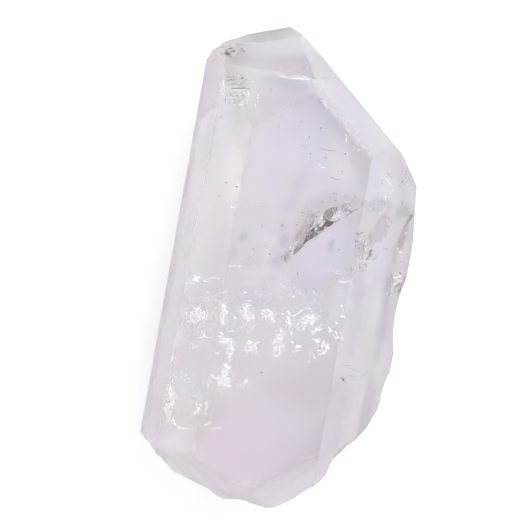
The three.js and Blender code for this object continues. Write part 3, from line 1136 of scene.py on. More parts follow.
SIDE_PATCHES = [
    (44, 60, 2.0, 0.8, 0.36, 0.16,
     [(394.5, 292), (396, 284.5), (401, 281.5), (403, 284), (400.5, 292.5), (398, 294)]),
    (14, 65, 1.8, 0.9, 0.34, 0.14, [(403, 277.5), (405.6, 277), (405, 282), (402.6, 282.6)]),
    (10, 20, 1.4, 0.9, 0.3, 0.14, [(398.5, 272.4), (402, 272.6), (402, 274.6), (399, 274.6)]),
    (40, 70, 2.0, 0.8, 0.38, 0.14,
     [(368.5, 256), (369.8, 249.5), (372.4, 249), (372, 254), (369.4, 259.5), (366.4, 260.2)]),
    (22, 60, 1.4, 0.7, 0.68, 0.12, [(380.4, 251.5), (382, 248), (388, 246.5), (388, 250)]),
    (24, 65, 1.8, 0.8, 0.6, 0.12, [(408.6, 221), (409.4, 215.5), (413, 212.8), (414, 215), (410.6, 221.5)]),
    (60, 75, 1.8, 0.6, 0.6, 0.12, [(356.4, 262), (356.4, 238), (362, 233.4), (366, 240), (364.6, 262)]),
    (50, 60, 1.4, 0.6, 0.64, 0.12, [(352, 276), (352.6, 264), (366, 261.6), (367.6, 268), (358, 274)]),
    (24, 70, 1.6, 0.6, 0.96, 0.04, [(394, 280), (394.6, 272.4), (403.6, 271.6), (403, 276), (399.4, 281)]),
    (12, 70, 1.6, 0.6, 0.96, 0.04, [(405.6, 237), (407.4, 224.6), (411.6, 222), (411, 236)]),
]
SIDE_SQUIGGLES = [
    (12, 75, 3.2, 0.8, 0.58, 0.1, [(355, 238), (364, 232), (373, 238), (372, 252), (365, 262), (355, 262)]),
    (16, 80, 3.4, 0.8, 0.97, 0.03, [(358, 238), (368, 236), (373, 244), (368, 260), (360, 262)]),
    (8, 60, 3.4, 0.8, 0.7, 0.08, [(366, 212), (368, 198), (390, 196), (392, 206), (384, 214)]),
    (5, 60, 3.4, 0.8, 0.9, 0.08, [(362, 210), (366, 196), (390, 192), (394, 204), (384, 214)]),
    (5, 60, 2.8, 0.8, 0.6, 0.1, [(352, 274), (353, 263), (369, 260), (368, 270), (356, 276)]),
    (5, 60, 2.8, 0.8, 0.95, 0.05, [(352, 276), (353, 263), (369, 260), (368, 270)]),
    (10, 70, 2.8, 0.8, 0.5, 0.14, [(384, 296), (385, 276), (396, 273), (404, 275), (402, 290), (394, 297)]),
    (14, 50, 3.0, 0.7, 0.98, 0.02,
     [(386, 296), (387, 276), (396, 272), (404, 274), (402, 288), (394, 296)]),
    (5, 70, 2.6, 0.8, 0.95, 0.05, [(396, 250), (402, 228), (411, 216), (409, 240), (402, 262)]),
    (6, 50, 3.0, 0.7, 0.68, 0.08, [(376, 192), (384, 172), (404, 172), (410, 186), (396, 198)]),
    (5, 60, 3.2, 0.5, 0.94, 0.06, [(372, 190), (380, 168), (398, 166), (406, 186), (390, 196)]),
]

# The white feathers of healed cracks, which lie in one slanted sheet
FEATHER_SHEET = slanted(345, 300, 1.3, right=-0.006, down=0.015)
TOP_LEFT_EDGE = ((188.4, 268.8), (157, 445))  # two pixels of the top face's left edge
EDGE_DEPTH = 0.5  # mm
EDGE_DIP = 0.1  # mm deeper for each pixel from that edge
HEART_DENSITY = 0.5  # how much of the hearts' and the haze's counts is made
HAZE_DENSITY = 0.7
FEATHER_LINE_WIDTH = 0.75  # against the widths given
# Feathers: centre, reach along and across, direction, strength
FEATHERS = [
    (194, 316, 13, 10, 35, 0.8), (203, 318, 8, 8, 120, 0.5), (223.5, 309, 10, 5, 90, 1.0),
    (222.5, 320, 9, 5, 75, 0.9), (246, 309.5, 9, 7, 120, 0.9), (248.5, 316.5, 10, 7, 135, 1.6),
    (225, 338.5, 10, 5, 140, 1.0), (228, 341.5, 9, 4, 20, 0.9), (230.5, 347.5, 7, 6, 60, 1.0),
    (229.5, 356.5, 6, 5, 60, 0.7), (269.5, 315, 9, 8, 140, 1.3), (288.5, 320.5, 9, 5, 105, 1.1),
    (307, 321, 14, 8, 25, 2.2), (315.5, 330, 6, 4, 40, 1.4), (278.5, 341, 12, 7, 80, 1.4),
    (278, 350.5, 10, 6, 70, 1.4), (291.5, 334, 6, 4, 90, 0.9), (252, 347, 11, 8, 40, 0.8),
    (226, 371, 12, 7, 80, 0.8), (224.5, 381.5, 12, 8, 45, 1.4), (196, 279.5, 8, 4, 10, 0.9),
    (327, 347, 5, 4, 60, 1.6), (322, 353, 6, 3, 20, 1.5), (317.9, 341.7, 6, 4, 150, 1.0),
    (296.7, 346.2, 5, 3, 0, 1.2), (295.5, 351, 5, 3, 0, 0.7), (192.7, 346.2, 5, 3, 20, 1.3),
    (174.2, 359.2, 5, 3, 120, 1.0), (330.2, 330, 5, 4, 100, 0.8), (337.4, 334.5, 6, 5, 120, 0.6),
    (212, 376, 5, 4, 60, 0.35), (209, 385, 6, 5, 70, 0.35), (243, 384, 9, 5, 25, 0.45),
    (203, 336, 7, 5, 100, 0.5), (235, 318, 3, 3, 60, 0.8),
]
# The brightest lines in the feathers
FEATHER_LINES = [
    (1.0, 1.0, [(245, 350.6), (249, 350), (253.5, 350.6)]),
    (1.1, 1.0, [(244.5, 347.2), (248, 346), (251, 346.8), (254, 349.6)]),
    (1.0, 1.0, [(246, 344), (250, 343.4), (254.5, 345.4), (257.6, 349.6)]),
    (0.9, 0.95, [(247, 342.4), (249.5, 340.8), (252.5, 342.4)]),
    (1.0, 1.0, [(252, 350.2), (253.4, 351.2), (254.8, 351.4)]),
    (0.7, 0.3, [(246, 345.4), (250, 345), (253.6, 347)]),
    (0.7, 0.3, [(245.5, 348.7), (249, 348.4), (252, 349)]),
    (0.6, 0.95, [(184, 313.8), (188, 313.6), (191, 313.2)]),
    (1.1, 1.0, [(190, 316.6), (192.5, 312.8), (195.6, 310.4)]),
    (1.0, 0.95, [(196, 318), (199, 313.4), (203.5, 312.8), (207, 316.6)]),
    (0.9, 0.9, [(198, 321), (200.5, 317.2), (204, 317.2), (206, 320.6)]),
    (1.0, 1.0, [(188.5, 321.6), (192, 320.6), (196, 322.4)]),
    (0.9, 0.95, [(192, 318.4), (194.6, 320.4), (195.6, 323.4)]),
    (0.9, 0.95, [(197, 311), (198.5, 307.4), (198.2, 304)]),
    (0.9, 1.0, [(221.5, 303), (223.4, 305.6), (222.8, 309)]),
    (1.0, 1.0, [(226, 303), (225.4, 307), (226.6, 310.6)]),
    (1.3, 1.0, [(221.6, 311), (224.6, 309.6)]),
    (0.9, 1.0, [(221.2, 314), (220.6, 318), (222.4, 322), (225, 325)]),
    (1.0, 0.95, [(226.6, 318), (227.6, 321), (226.6, 324)]),
    (1.0, 1.0, [(221, 332.6), (224, 336.4), (227, 340)]),
    (1.0, 0.9, [(228.5, 331.6), (231, 330.6), (233, 331)]),
    (1.0, 1.0, [(219, 342.4), (223, 342), (227.5, 342.8)]),
    (0.9, 1.0, [(225.6, 340.6), (229, 338.8), (231.6, 338.6)]),
    (0.9, 1.0, [(226, 346.2), (230, 344.6), (233.6, 345)]),
    (1.0, 1.0, [(229.4, 343.6), (228.6, 347), (229.6, 350.6)]),
    (1.0, 1.0, [(231, 347), (232.6, 349), (233, 352)]),
    (1.0, 0.95, [(226, 352.4), (229, 353.4), (231.4, 353)]),
    (0.9, 1.0, [(222.5, 369), (224, 372.4), (227, 371.4)]),
    (0.9, 1.0, [(228.6, 366), (230, 368), (230.8, 370.4)]),
    (1.0, 1.0, [(216, 378), (219, 378.4), (221, 380)]),
    (1.1, 1.0, [(218, 381.6), (222, 382.6), (226, 385.6)]),
    (1.2, 1.0, [(224, 385.8), (228, 386), (231.5, 385.8)]),
    (0.9, 1.0, [(226.6, 378.2), (229, 377.4), (231, 378.2)]),
    (1.0, 1.0, [(223, 380), (226.6, 382.4), (231, 382)]),
    (1.4, 1.0, [(264.6, 316.8), (268, 317.4), (270.4, 319.6)]),
    (1.0, 1.0, [(268.4, 312.6), (270.2, 314.2), (272, 312.6)]),
    (1.1, 1.0, [(271, 317.8), (274, 319.2), (275.2, 322)]),
    (1.5, 1.0, [(287.2, 316), (288.4, 319), (290.4, 320.2)]),
    (1.5, 0.95, [(287.6, 322.4), (290, 324)]),
    (1.2, 1.0, [(240.4, 310.6), (244, 310.2), (246.6, 309)]),
    (1.1, 1.0, [(243.6, 314.6), (246, 318), (249.4, 320)]),
    (1.6, 1.0, [(295.6, 346.6), (297.4, 345.8), (299, 346.8)]),
    (1.3, 1.0, [(315.4, 342), (318, 341.2), (320, 342.6)]),
    (1.2, 1.0, [(311.6, 332.4), (314.6, 332.6), (317.6, 331)]),
    (1.2, 1.0, [(316, 327.2), (316.6, 329.2), (318.6, 330)]),
    (0.8, 0.95, [(319, 346.4), (322, 344.6), (324.4, 341.6)]),
    (0.8, 0.95, [(320.6, 348), (323.4, 346), (325.4, 344)]),
    (1.2, 1.0, [(320, 354), (322.6, 353.6), (325, 352.4)]),
    (1.2, 1.0, [(317.6, 351), (319.6, 350.2), (321.4, 350.8)]),
    (0.5, 0.95, [(199, 309), (200.5, 304), (203, 299)]),
    (0.8, 0.9, [(197, 316), (201.5, 312.5), (206, 315), (207, 320)]),
    (0.8, 0.9, [(246, 301), (249, 300.4), (252, 301.6)]),
    (0.8, 0.95, [(245.5, 306), (249, 305.4), (252, 306.2)]),
    (0.8, 0.9, [(221, 333), (223.5, 335.5), (226.5, 339)]),
    (0.9, 0.95, [(219, 342.5), (224, 341.5), (229, 341.8)]),
    (0.9, 1.0, [(215, 352.6), (217.6, 353.4), (220, 353.4)]),
    (0.8, 0.85, [(245, 350), (248.5, 344.5), (253, 342)]),
    (0.9, 0.9, [(249, 347), (253.5, 346), (257, 349.5)]),
    (0.6, 0.5, [(335, 273), (341, 274.2), (346, 274)]),
    (0.6, 0.5, [(336, 282), (343, 281.8), (349, 282.5)]),
    (0.8, 0.85, [(292, 316.5), (297, 314), (303, 309.5)]),
    (0.8, 0.9, [(306, 309), (308.3, 308.2), (311, 308.8)]),
    (0.9, 0.95, [(303, 331), (304.5, 327), (308, 324)]),
    (0.9, 0.9, [(309.5, 352.5), (313, 355), (315.5, 359)]),
    (0.8, 0.9, [(218.5, 377.5), (214, 378), (211.5, 377.6)]),
    (1.0, 1.0, [(221, 381.5), (225.5, 384.5), (231.5, 385.2)]),
    (0.8, 0.9, [(220, 370.5), (224.5, 373.5), (226.5, 378)]),
    (0.9, 0.9, [(243, 292), (247, 292.6)]),
    (0.8, 0.85, [(219, 293.5), (222.5, 292.8), (226.5, 291)]),
    (0.8, 0.7, [(185, 283.6), (188, 283.2)]),
    (0.7, 0.7, [(203, 280.6), (206, 281.4), (210, 281)]),
    (1.0, 1.0, [(193.6, 276), (196, 275.4)]),
    (1.1, 1.0, [(192, 280), (195.4, 279), (198, 280.6)]),
    (0.9, 1.0, [(195, 282.4), (197, 278.4), (198.6, 277)]),
    (0.7, 0.7, [(212, 277.6), (217, 278), (221, 279)]),
    (0.8, 0.85, [(197.5, 338), (204.5, 336.8), (212, 338)]),
    (0.7, 0.85, [(201.5, 329), (202, 332.5), (203, 335)]),
]
# The hearts of the feathers, thick with glints: place, reach along and across, direction, how many
FEATHER_HEARTS = [
    (247.5, 316, 9, 6, 135, 80), (243, 310.5, 4, 2, 10, 16), (248.5, 302, 4, 2, 0, 12),
    (310, 319.8, 9, 5, 10, 150), (303.4, 323.6, 6, 4, 30, 60), (316, 331, 5, 3.5, 40, 44),
    (276, 341, 6, 5, 60, 54), (281, 338.5, 4, 3, 90, 24), (279.5, 350, 5, 4.5, 60, 48),
    (277.5, 355, 4, 2, 45, 14), (268.5, 317, 5, 3.5, 140, 42), (273, 320, 4, 3, 150, 22),
    (270.5, 313, 3, 2.5, 60, 14), (288.5, 318, 3, 3.5, 100, 20), (290.5, 323.5, 3, 2, 120, 12),
    (223, 310.5, 4, 3.5, 90, 32), (222.5, 304.5, 3, 2, 60, 12), (226.5, 313, 2.5, 2.5, 0, 12),
    (221.5, 318.5, 2.5, 2.5, 0, 12), (224.5, 323.5, 4, 2.5, 10, 14), (227, 341, 6, 4, 140, 48),
    (221, 333, 2.5, 1.5, 120, 10), (222.5, 342, 6, 1.8, 0, 20), (231.5, 346, 4, 4, 60, 30),
    (228.5, 350, 3, 3, 0, 14), (229.5, 355.5, 3.5, 3, 0, 14), (246.5, 351, 4, 3, 0, 20),
    (251, 349, 5, 3, 140, 20), (255, 349.5, 3, 2, 140, 12), (193, 315, 6, 4, 20, 90),
    (199, 312.6, 6, 3, 0, 64), (192.6, 321.4, 5, 3, 0, 50), (202, 317.4, 5, 4, 60, 60),
    (197.6, 308.4, 3, 3, 90, 30), (205.4, 320, 3, 4, 80, 24), (192, 346, 3, 2.2, 10, 16),
    (203, 336.6, 3, 2, 10, 12), (217, 353, 3, 1.6, 0, 12), (327, 346.5, 4, 3.5, 60, 30),
    (323.5, 342.5, 3, 2.5, 0, 14), (322, 353, 4, 2, 20, 18), (223, 375, 5, 3, 60, 26),
    (225, 383, 7, 3, 150, 30), (228, 367, 4, 3, 80, 18), (199, 279, 4, 2.5, 0, 12),
    (170, 391, 9, 3.4, 80, 170), (172.4, 399, 8, 4, 85, 150), (168.6, 411, 9, 3.4, 95, 170),
    (197, 410, 7, 4, 50, 80), (206, 405, 7, 3, 80, 44), (173, 421, 7, 2.4, 130, 44),
]
# Fine haze round the feathers, in the same way
FEATHER_HAZES = [
    (291, 286, 16, 3, -10, 60), (298, 293, 14, 4, -15, 60), (286, 296, 8, 3, 0, 24),
    (303, 291, 8, 3, 0, 24), (339, 271.5, 13, 2.4, 0, 70), (344, 281.5, 13, 3, 0, 80),
    (305, 306, 16, 6, 20, 50), (262, 296, 24, 5, 0, 80), (216, 300, 24, 6, 0, 90), (205, 300, 8, 9, 60, 60),
    (248, 325, 12, 11, 0, 170), (237, 345, 8, 14, 0, 90), (335, 318, 10, 18, 0, 80),
    (331, 329, 9, 8, 0, 50), (284, 330, 12, 12, 0, 90), (300, 338, 12, 20, 0, 70), (216, 316, 8, 12, 0, 70),
    (262, 311, 12, 12, 0, 60), (200, 330, 20, 10, 10, 130), (194, 314, 20, 16, 30, 220),
    (226, 330, 14, 40, 0, 160), (247, 312, 14, 14, 0, 130), (269, 317, 14, 12, 0, 110),
    (308, 320, 20, 12, 10, 160), (278, 345, 12, 22, 0, 150), (320, 348, 18, 10, 30, 110),
    (250, 346, 16, 12, 20, 110), (225, 377, 18, 20, 0, 160), (243, 385, 12, 6, 25, 60),
    (171, 396, 26, 8, 85, 150), (168, 412, 22, 6, 95, 110), (201, 408, 16, 14, 50, 120),
    (185, 347, 24, 8, 10, 60), (205, 281, 24, 5, 5, 60), (212, 425, 26, 5, 0, 60),
    (186, 400, 24, 10, 20, 60), (207, 385, 18, 8, 30, 50), (190, 375, 24, 8, 0, 50),
    (275, 290, 30, 12, -20, 50), (320, 300, 40, 14, 0, 50),
]
# Bright dots between the feathers: place, length, width
FEATHER_DOTS = [
    (341.7, 305.9, 1.8, 1.6), (342.3, 316.5, 2.2, 1.6), (342.9, 309.8, 1.4, 1.2), (336.8, 323.2, 2.6, 1.4),
    (337.4, 337.7, 2.2, 1.8), (292.4, 341.7, 2.4, 2.0), (302, 349.8, 2.0, 1.4), (323.9, 342.3, 1.8, 1.8),
    (319, 350.5, 3.0, 1.4), (314.2, 357, 2.0, 1.6), (308.8, 362, 1.8, 1.8), (189, 377.7, 2.2, 1.6),
    (226.2, 291, 2.0, 1.6), (293.8, 296.5, 2.0, 1.4), (313.8, 292.9, 1.6, 1.2), (203, 397.7, 1.8, 1.8),
    (205.5, 410.3, 1.6, 1.4), (205.5, 413.8, 2.2, 1.6), (196.5, 404, 1.4, 1.2), (225.7, 249.5, 1.8, 1.6),
    (240, 230, 1.8, 1.4), (238.8, 315.5, 1.2, 1.8), (282.3, 314, 2.4, 1.8), (232, 207, 3.4, 2.4),
]
# The bright rim at the lower left, and its branches
RIM_LINES = [
    (2.6, 0.95, [(168.3, 386), (168.6, 391), (170.5, 397)]),
    (2.0, 0.9, [(171, 392.5), (173.5, 398), (174, 402)]),
    (1.8, 0.9, [(174, 401.5), (172.3, 406), (171.5, 411)]),
    (2.2, 1.0, [(167, 403), (165.6, 408.5), (167, 413.5), (168.5, 417.5)]),
    (2.0, 1.0, [(167.9, 416), (170.3, 419.8), (173, 421), (176, 425.5)]),
    (1.2, 0.95, [(176, 425.5), (181, 428), (188, 428.5)]),
    (0.9, 0.95, [(203, 403), (199.5, 408.5), (194.5, 413.2)]),
    (0.7, 0.9, [(208.5, 399), (207, 404), (206, 409)]),
    (1.5, 0.9, [(204.5, 424.5), (208, 424), (210.5, 422.5)]),
    (1.2, 0.9, [(212, 429), (217, 428), (221, 428.5)]),
    (0.6, 0.9, [(193, 395), (197, 396.5), (201, 397)]),
]

# The small cavity and the layered cracks near the point
TIP_PATCHES = [
    (60, 30, 1.8, 0.7, 0.62, 0.08,
     [(224.4, 48), (228, 47.2), (233, 47.4), (235.8, 49),
      (235.6, 52.6), (231.4, 56.8), (227, 56.6), (224.6, 54)]),
    (26, 40, 1.6, 0.8, 0.46, 0.1, [(224.6, 52.6), (227.6, 51.6), (229, 54.6), (227.2, 56.6), (225, 55.4)]),
    (50, 15, 2.0, 0.5, 0.76, 0.08,
     [(225.6, 84), (226, 77), (234, 75), (244, 76), (249, 79), (249, 87), (231, 88)]),
    (40, 20, 1.8, 0.5, 0.78, 0.08, [(228, 104), (227, 94), (234, 91), (246, 92), (246, 100), (240, 104)]),
]
TIP_LINES = [
    (1.0, 0.42, [(228.4, 49), (230.4, 48.2), (232.6, 48.6)]),
    (1.1, 0.38, [(229, 52.6), (231.4, 52.2), (233.4, 50.6), (235.2, 50.6)]),
    (0.9, 0.46, [(226, 54.4), (228.4, 53.4), (230.4, 53.8)]),
    (0.9, 0.4, [(228, 56.8), (230, 56.9), (232, 56.4)]),
    (0.7, 0.55, [(240.4, 50.6), (241.4, 48.6), (242.6, 48)]),
    (0.8, 0.5, [(242, 49.6), (243.4, 50.6), (246, 50.6)]),
    (0.7, 0.6, [(241.6, 51.4), (243.6, 51.8)]),
    (0.7, 0.66, [(226.4, 77.2), (228.6, 76.4), (231, 76.4)]),
    (0.7, 0.64, [(226.8, 80.6), (230, 79.8), (234, 79.4)]),
    (0.7, 0.68, [(228, 84.6), (233, 84.2), (238.6, 84.8)]),
    (1.1, 0.32, [(240.4, 80.2), (241.8, 78.6), (243, 76.8)]),
    (0.8, 0.6, [(240, 85), (242, 83.4), (243.4, 82)]),
    (1.2, 0.58, [(230.5, 88), (236, 88.5), (242, 88.2), (250, 88.8)]),
    (0.9, 0.44, [(239.4, 88.5), (241.8, 88.6)]),
    (1.0, 0.42, [(248, 88.8), (250, 88.6)]),
    (0.9, 0.74, [(225.9, 96), (225.4, 100), (225.4, 104.4)]),
    (0.8, 0.7, [(229.4, 92.8), (230.6, 94), (231.6, 95)]),
    (0.8, 0.62, [(241.6, 94.6), (243.4, 95.4), (244.6, 96.4)]),
    (0.9, 0.66, [(236, 95.6), (239, 95.8)]),
    (0.7, 0.66, [(234, 99), (234.6, 101.6), (234.8, 104)]),
    (0.7, 0.62, [(219.5, 118.5), (222, 117.3), (224, 117)]),
]
TIP_GAPS = [
    (1.1, 1.0, [(229, 55.7), (232, 55), (234.4, 53.8), (235.8, 52.6)]),
    (0.9, 0.9, [(232, 44.6), (234, 44.2), (235.6, 44.6)]),
    (1.6, 0.98, [(238.6, 76.6), (240, 75), (241.4, 73.8)]),
    (1.2, 0.95, [(237.6, 78.2), (239.6, 78.4), (241, 77)]),
    (0.9, 0.95, [(228, 78.6), (231.4, 78), (234.4, 77.4)]),
    (0.9, 0.95, [(228.4, 82.6), (232, 81.4), (236, 79.8), (239, 78.8)]),
    (0.9, 0.95, [(229, 86.4), (233.6, 87), (237.6, 86.6)]),
    (0.9, 0.95, [(232, 89.8), (236, 90.4), (240.6, 90)]),
    (1.3, 1.0, [(252.9, 80), (252.7, 82), (252.6, 84)]),
    (1.6, 1.0, [(241.6, 92), (242.8, 91.2), (243.6, 90.4)]),
    (1.6, 1.0, [(250, 90.2), (251.4, 90)]),
    (1.2, 0.98, [(248.6, 92), (248.5, 95), (248.2, 98)]),
    (1.2, 1.0, [(246.7, 99.8), (246.8, 102), (246.6, 104)]),
    (1.0, 1.0, [(236, 104.3), (238.6, 104.6), (241.4, 104)]),
    (1.0, 1.0, [(240.2, 106.2), (242, 105.6), (243.8, 103.6)]),
    (0.9, 1.0, [(240.4, 101.8), (242, 101.4), (243.4, 99.6)]),
    (0.9, 1.0, [(242, 108), (243.6, 106.4)]),
    (2.0, 0.9, [(257.4, 94.4), (258.2, 96.6), (258.6, 99)]),
    (2.0, 0.85, [(255.4, 103), (255.6, 105), (255.8, 107.4)]),
    (1.2, 0.95, [(223.6, 58), (224.4, 59.6)]),
    (1.2, 0.95, [(225.6, 72.4), (227.4, 71)]),
    (1.0, 0.95, [(223.6, 80), (223.4, 84), (223.8, 88)]),
    (1.0, 0.95, [(223, 94), (223.2, 96), (223.4, 98)]),
]

# Specks in the clear parts: place, length, width, tone
SPECKS = [
    (271.2, 90, 2.0, 1.2, 0.4), (289.5, 97.8, 1.8, 1.3, 0.4), (320.6, 102.8, 2.6, 1.4, 0.3),
    (323.5, 107.5, 1.8, 1.4, 0.42), (291, 110, 2.4, 1.4, 1.0), (321, 128, 1.8, 1.5, 0.3),
    (309.4, 136.6, 1.8, 1.4, 0.34), (311.4, 137.4, 1.6, 1.2, 1.0), (310.6, 153.7, 2.2, 1.4, 0.42),
    (325.6, 157.5, 2.0, 1.2, 0.42), (345.6, 154, 2.4, 1.4, 0.36), (347.4, 154.8, 1.8, 1.2, 1.0),
    (341.9, 171, 1.8, 1.2, 0.42), (358.7, 150, 2.2, 1.4, 1.0), (297.4, 273.5, 2.8, 1.4, 0.46),
    (306.5, 291, 2.2, 1.2, 0.5), (261.5, 372.6, 2.0, 1.8, 0.25), (343.3, 379.5, 4.0, 3.0, 0.0),
    (341.4, 378.2, 2.4, 1.8, 0.04), (345.3, 381.4, 2.0, 1.6, 0.2), (269.4, 253.8, 2.4, 1.0, 0.4),
    (253.7, 248.7, 3.0, 1.0, 0.55), (262, 226, 2.6, 1.0, 0.55), (226, 182.8, 3.2, 1.8, 0.6),
    (236.6, 186.4, 3.4, 2.0, 0.72), (219.2, 195.4, 2.6, 1.2, 0.66), (232, 206.4, 3.2, 2.2, 1.0),
    (234.2, 214, 1.6, 1.2, 0.6), (278.6, 126, 1.8, 1.2, 0.5), (301, 121.6, 1.6, 1.0, 0.5),
]
# Thin lines in the clear parts, and a painted highlight under the point's edge
SPECK_AND_HIGHLIGHT_LINES = [
    (0.7, 0.5, [(317.5, 100.5), (320, 98.5), (322.5, 99)]),
    (0.7, 0.95, [(323.5, 103.5), (325.5, 104.5), (326.5, 107)]),
    (0.8, 0.95, [(346, 135), (346.6, 138.6), (346, 142)]),
    (0.7, 0.6, [(320, 148.4), (327, 150.2), (335, 150.6)]),
    (0.7, 0.7, [(300, 144), (304, 146.4), (309, 147)]),
    (0.7, 0.95, [(318, 164), (322, 167), (327, 167.6)]),
    (0.7, 0.66, [(330, 176), (335, 179), (341, 179.6)]),
    # A painted highlight: a line of bright flakes just under the point's lower edge
    (0.6, 1.0, [(280, 76.4), (290, 78), (300, 79), (308, 79.6)]),
    (0.7, 0.5, [(344, 365.2), (347.6, 365.8), (351, 365.4)]),
    (0.7, 0.64, [(349, 368), (356, 371), (363, 371.5)]),
    (0.7, 0.64, [(360, 377), (365, 374.5), (369, 371)]),
    (0.7, 0.66, [(347, 374.5), (352, 376), (357, 375.5)]),
    (0.8, 0.85, [(246, 204.8), (252, 204.6), (258, 205.2)]),
    (0.8, 0.8, [(259, 207), (262, 206.4), (265, 206.8)]),
    (0.8, 0.7, [(247, 259.6), (249.6, 258), (251.4, 255.6)]),
    (0.8, 0.7, [(265, 245.8), (268, 246.6), (270.4, 248.6)]),
    (1.0, 0.9, [(229.5, 266.3), (235, 265.8), (241, 266.3)]),
]
DUST_COUNT = 80
DUST_AREA = (200, 90, 390, 400)  # left, top, right and bottom
DUST_TONES = (0.5, 0.66, 0.95)


class QuartzSettings(bpy.types.PropertyGroup):
    ior: bpy.props.FloatProperty(
        name="IOR", description="Index of refraction of quartz", default=1.544, min=1.0, max=3.0
    )
    tint: bpy.props.FloatVectorProperty(
        name="Tint",
        description="Colour that light takes inside the crystal",
        subtype="COLOR",
        size=3,
        default=(0.82, 0.78, 0.81),
        min=0.0,
        max=1.0,
    )
    tint_density: bpy.props.FloatProperty(
        name="Tint Density", description="Strength of the tint, per metre", default=25.0, min=0.0
    )
    face_roughness: bpy.props.FloatProperty(
        name="Face Roughness",
        description="Roughness of the crystal faces",
        subtype="FACTOR",
        default=0.19,
        min=0.0,
        max=1.0,
    )
    base_haze: bpy.props.FloatProperty(
        name="Base Haze",
        description="How much rougher the crystal faces get towards the broken base",
        subtype="FACTOR",
        default=0.045,
        min=0.0,
        max=1.0,
    )
    break_roughness: bpy.props.FloatProperty(
        name="Break Roughness",
        description="Roughness of the broken base",
        subtype="FACTOR",
        default=0.75,
        min=0.0,
        max=1.0,
    )
    underside_frost: bpy.props.FloatProperty(
        name="Underside Frost",
        description="How frosted the growth faces on the lower side are, against the break",
        subtype="FACTOR",
        default=0.88,
        min=0.0,
        max=1.0,
    )
    break_relief: bpy.props.FloatProperty(
        name="Break Relief",
        description="Depth of the small hackles on the broken base",
        subtype="DISTANCE",
        unit="LENGTH",
        default=0.25 * MM,
        min=0.0,
    )
    edge_wear: bpy.props.FloatProperty(
        name="Edge Wear",
        description="Width of the worn flat along the point's upper edges",
        subtype="DISTANCE",
        unit="LENGTH",
        default=0.013 * MM,
        min=0.0,
    )
    seed: bpy.props.IntProperty(name="Seed", description="Changes everything that is scattered", default=7)


class StageSettings(bpy.types.PropertyGroup):
    floor_colour: bpy.props.FloatVectorProperty(
        name="Floor Colour",
        description="Colour of the pale floor",
        subtype="COLOR",
        size=3,
        default=(0.92, 0.92, 0.925),
        min=0.0,
        max=1.0,
    )
    sky_zenith: bpy.props.FloatProperty(
        name="Sky Overhead", description="Brightness of the light from straight above", default=1.3, min=0.0
    )
    sky_horizon: bpy.props.FloatProperty(
        name="Sky Horizon", description="Brightness of the light from the sides", default=0.8, min=0.0
    )
    key_power: bpy.props.FloatProperty(
        name="Key Power",
        description="Power of the large soft light at the upper right",
        subtype="POWER",
        unit="POWER",
        default=4.0,
        min=0.0,
    )
    key_size: bpy.props.FloatProperty(
        name="Key Size",
        description="Width of the large soft light",
        subtype="DISTANCE",
        unit="LENGTH",
        default=0.7,
        min=0.01,
    )
    lens: bpy.props.FloatProperty(
        name="Lens",
        description="Focal length, long so that the view is almost parallel",
        subtype="DISTANCE_CAMERA",
        default=700.0,
        min=1.0,
    )


class QUARTZ_OT_body(bpy.types.Operator):
    """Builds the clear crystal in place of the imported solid"""

    bl_idname = "quartz.body"
    bl_label = "Crystal Body"

    def execute(self, context):
        settings = context.scene.quartz
        bm = crystal_body(settings)
        flats = bm.faces.layers.int["flat_number"]
        frosted = [face_frost(face, flats, settings) for face in bm.faces]
        piece = new_piece("quartz_body", bm, clear_quartz(settings))
        add_face_values(piece, "frost", frosted)
        piece.data.attributes.remove(piece.data.attributes["flat_number"])
        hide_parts(CAD_NODE)
        return {"FINISHED"}


class QUARTZ_OT_fracture(bpy.types.Operator):
    """Builds the smoky fracture in the middle, with its striped lens"""

    bl_idname = "quartz.fracture"
    bl_label = "Smoky Fracture"

    def execute(self, context):
        lens = (LENS_UPPER, LENS_LOWER, LENS_STRIPES, LENS_STRIPE_WIDTH, LENS_TONES)
        steps = (
            (Flakes.patch, FRACTURE_PATCHES, {}),
            (Flakes.squiggles, FRACTURE_SQUIGGLES, {}),
            (Flakes.line, FRACTURE_LINES + FRACTURE_GAPS + FRACTURE_SCRIBBLES, {"gaps": 0.05}),
            (Flakes.stripes, [lens], {}),
            (Flakes.add, FRACTURE_MARKS, {}),
        )
        make_cracks(
            context,
            steps,
            seed_step=0,
            depth=slanted(291, 257, 0.35, right=-0.055, down=-0.08),
            scatter=0.15,
            dull=("smoky_fracture", flake_material("smoky_flakes", *SMOKY)),
            bright="fracture_glints",
        )
        return {"FINISHED"}


class QUARTZ_OT_side_cracks(bpy.types.Operator):
    """Builds the cracks and cavities under the right-hand face"""

    bl_idname = "quartz.side_cracks"
    bl_label = "Side Cracks"

    def execute(self, context):
        steps = (
            (Flakes.squiggles, SIDE_SQUIGGLES, {}),
            (Flakes.patch, SIDE_PATCHES, {}),
            (Flakes.line, SIDE_LINES + SIDE_GAPS, {}),
            (Flakes.add, SIDE_MARKS, {}),
        )
        make_cracks(
            context,
            steps,
            seed_step=1,
            depth=even_depth(0.6),
            scatter=0.08,
            dull=("side_cracks", flake_material("grey_flakes", *GREY)),
            bright="side_glints",
        )
        return {"FINISHED"}


def feather_depth(x, y):
    """In the slanted sheet, but shallow by the top face's left edge, where a deep flake shows twice."""
    (x0, y0), (x1, y1) = TOP_LEFT_EDGE
    from_edge = x - x0 - (y - y0) * (x1 - x0) / (y1 - y0)
    return min(FEATHER_SHEET(x, y), EDGE_DEPTH + EDGE_DIP * max(from_edge, 0.0))


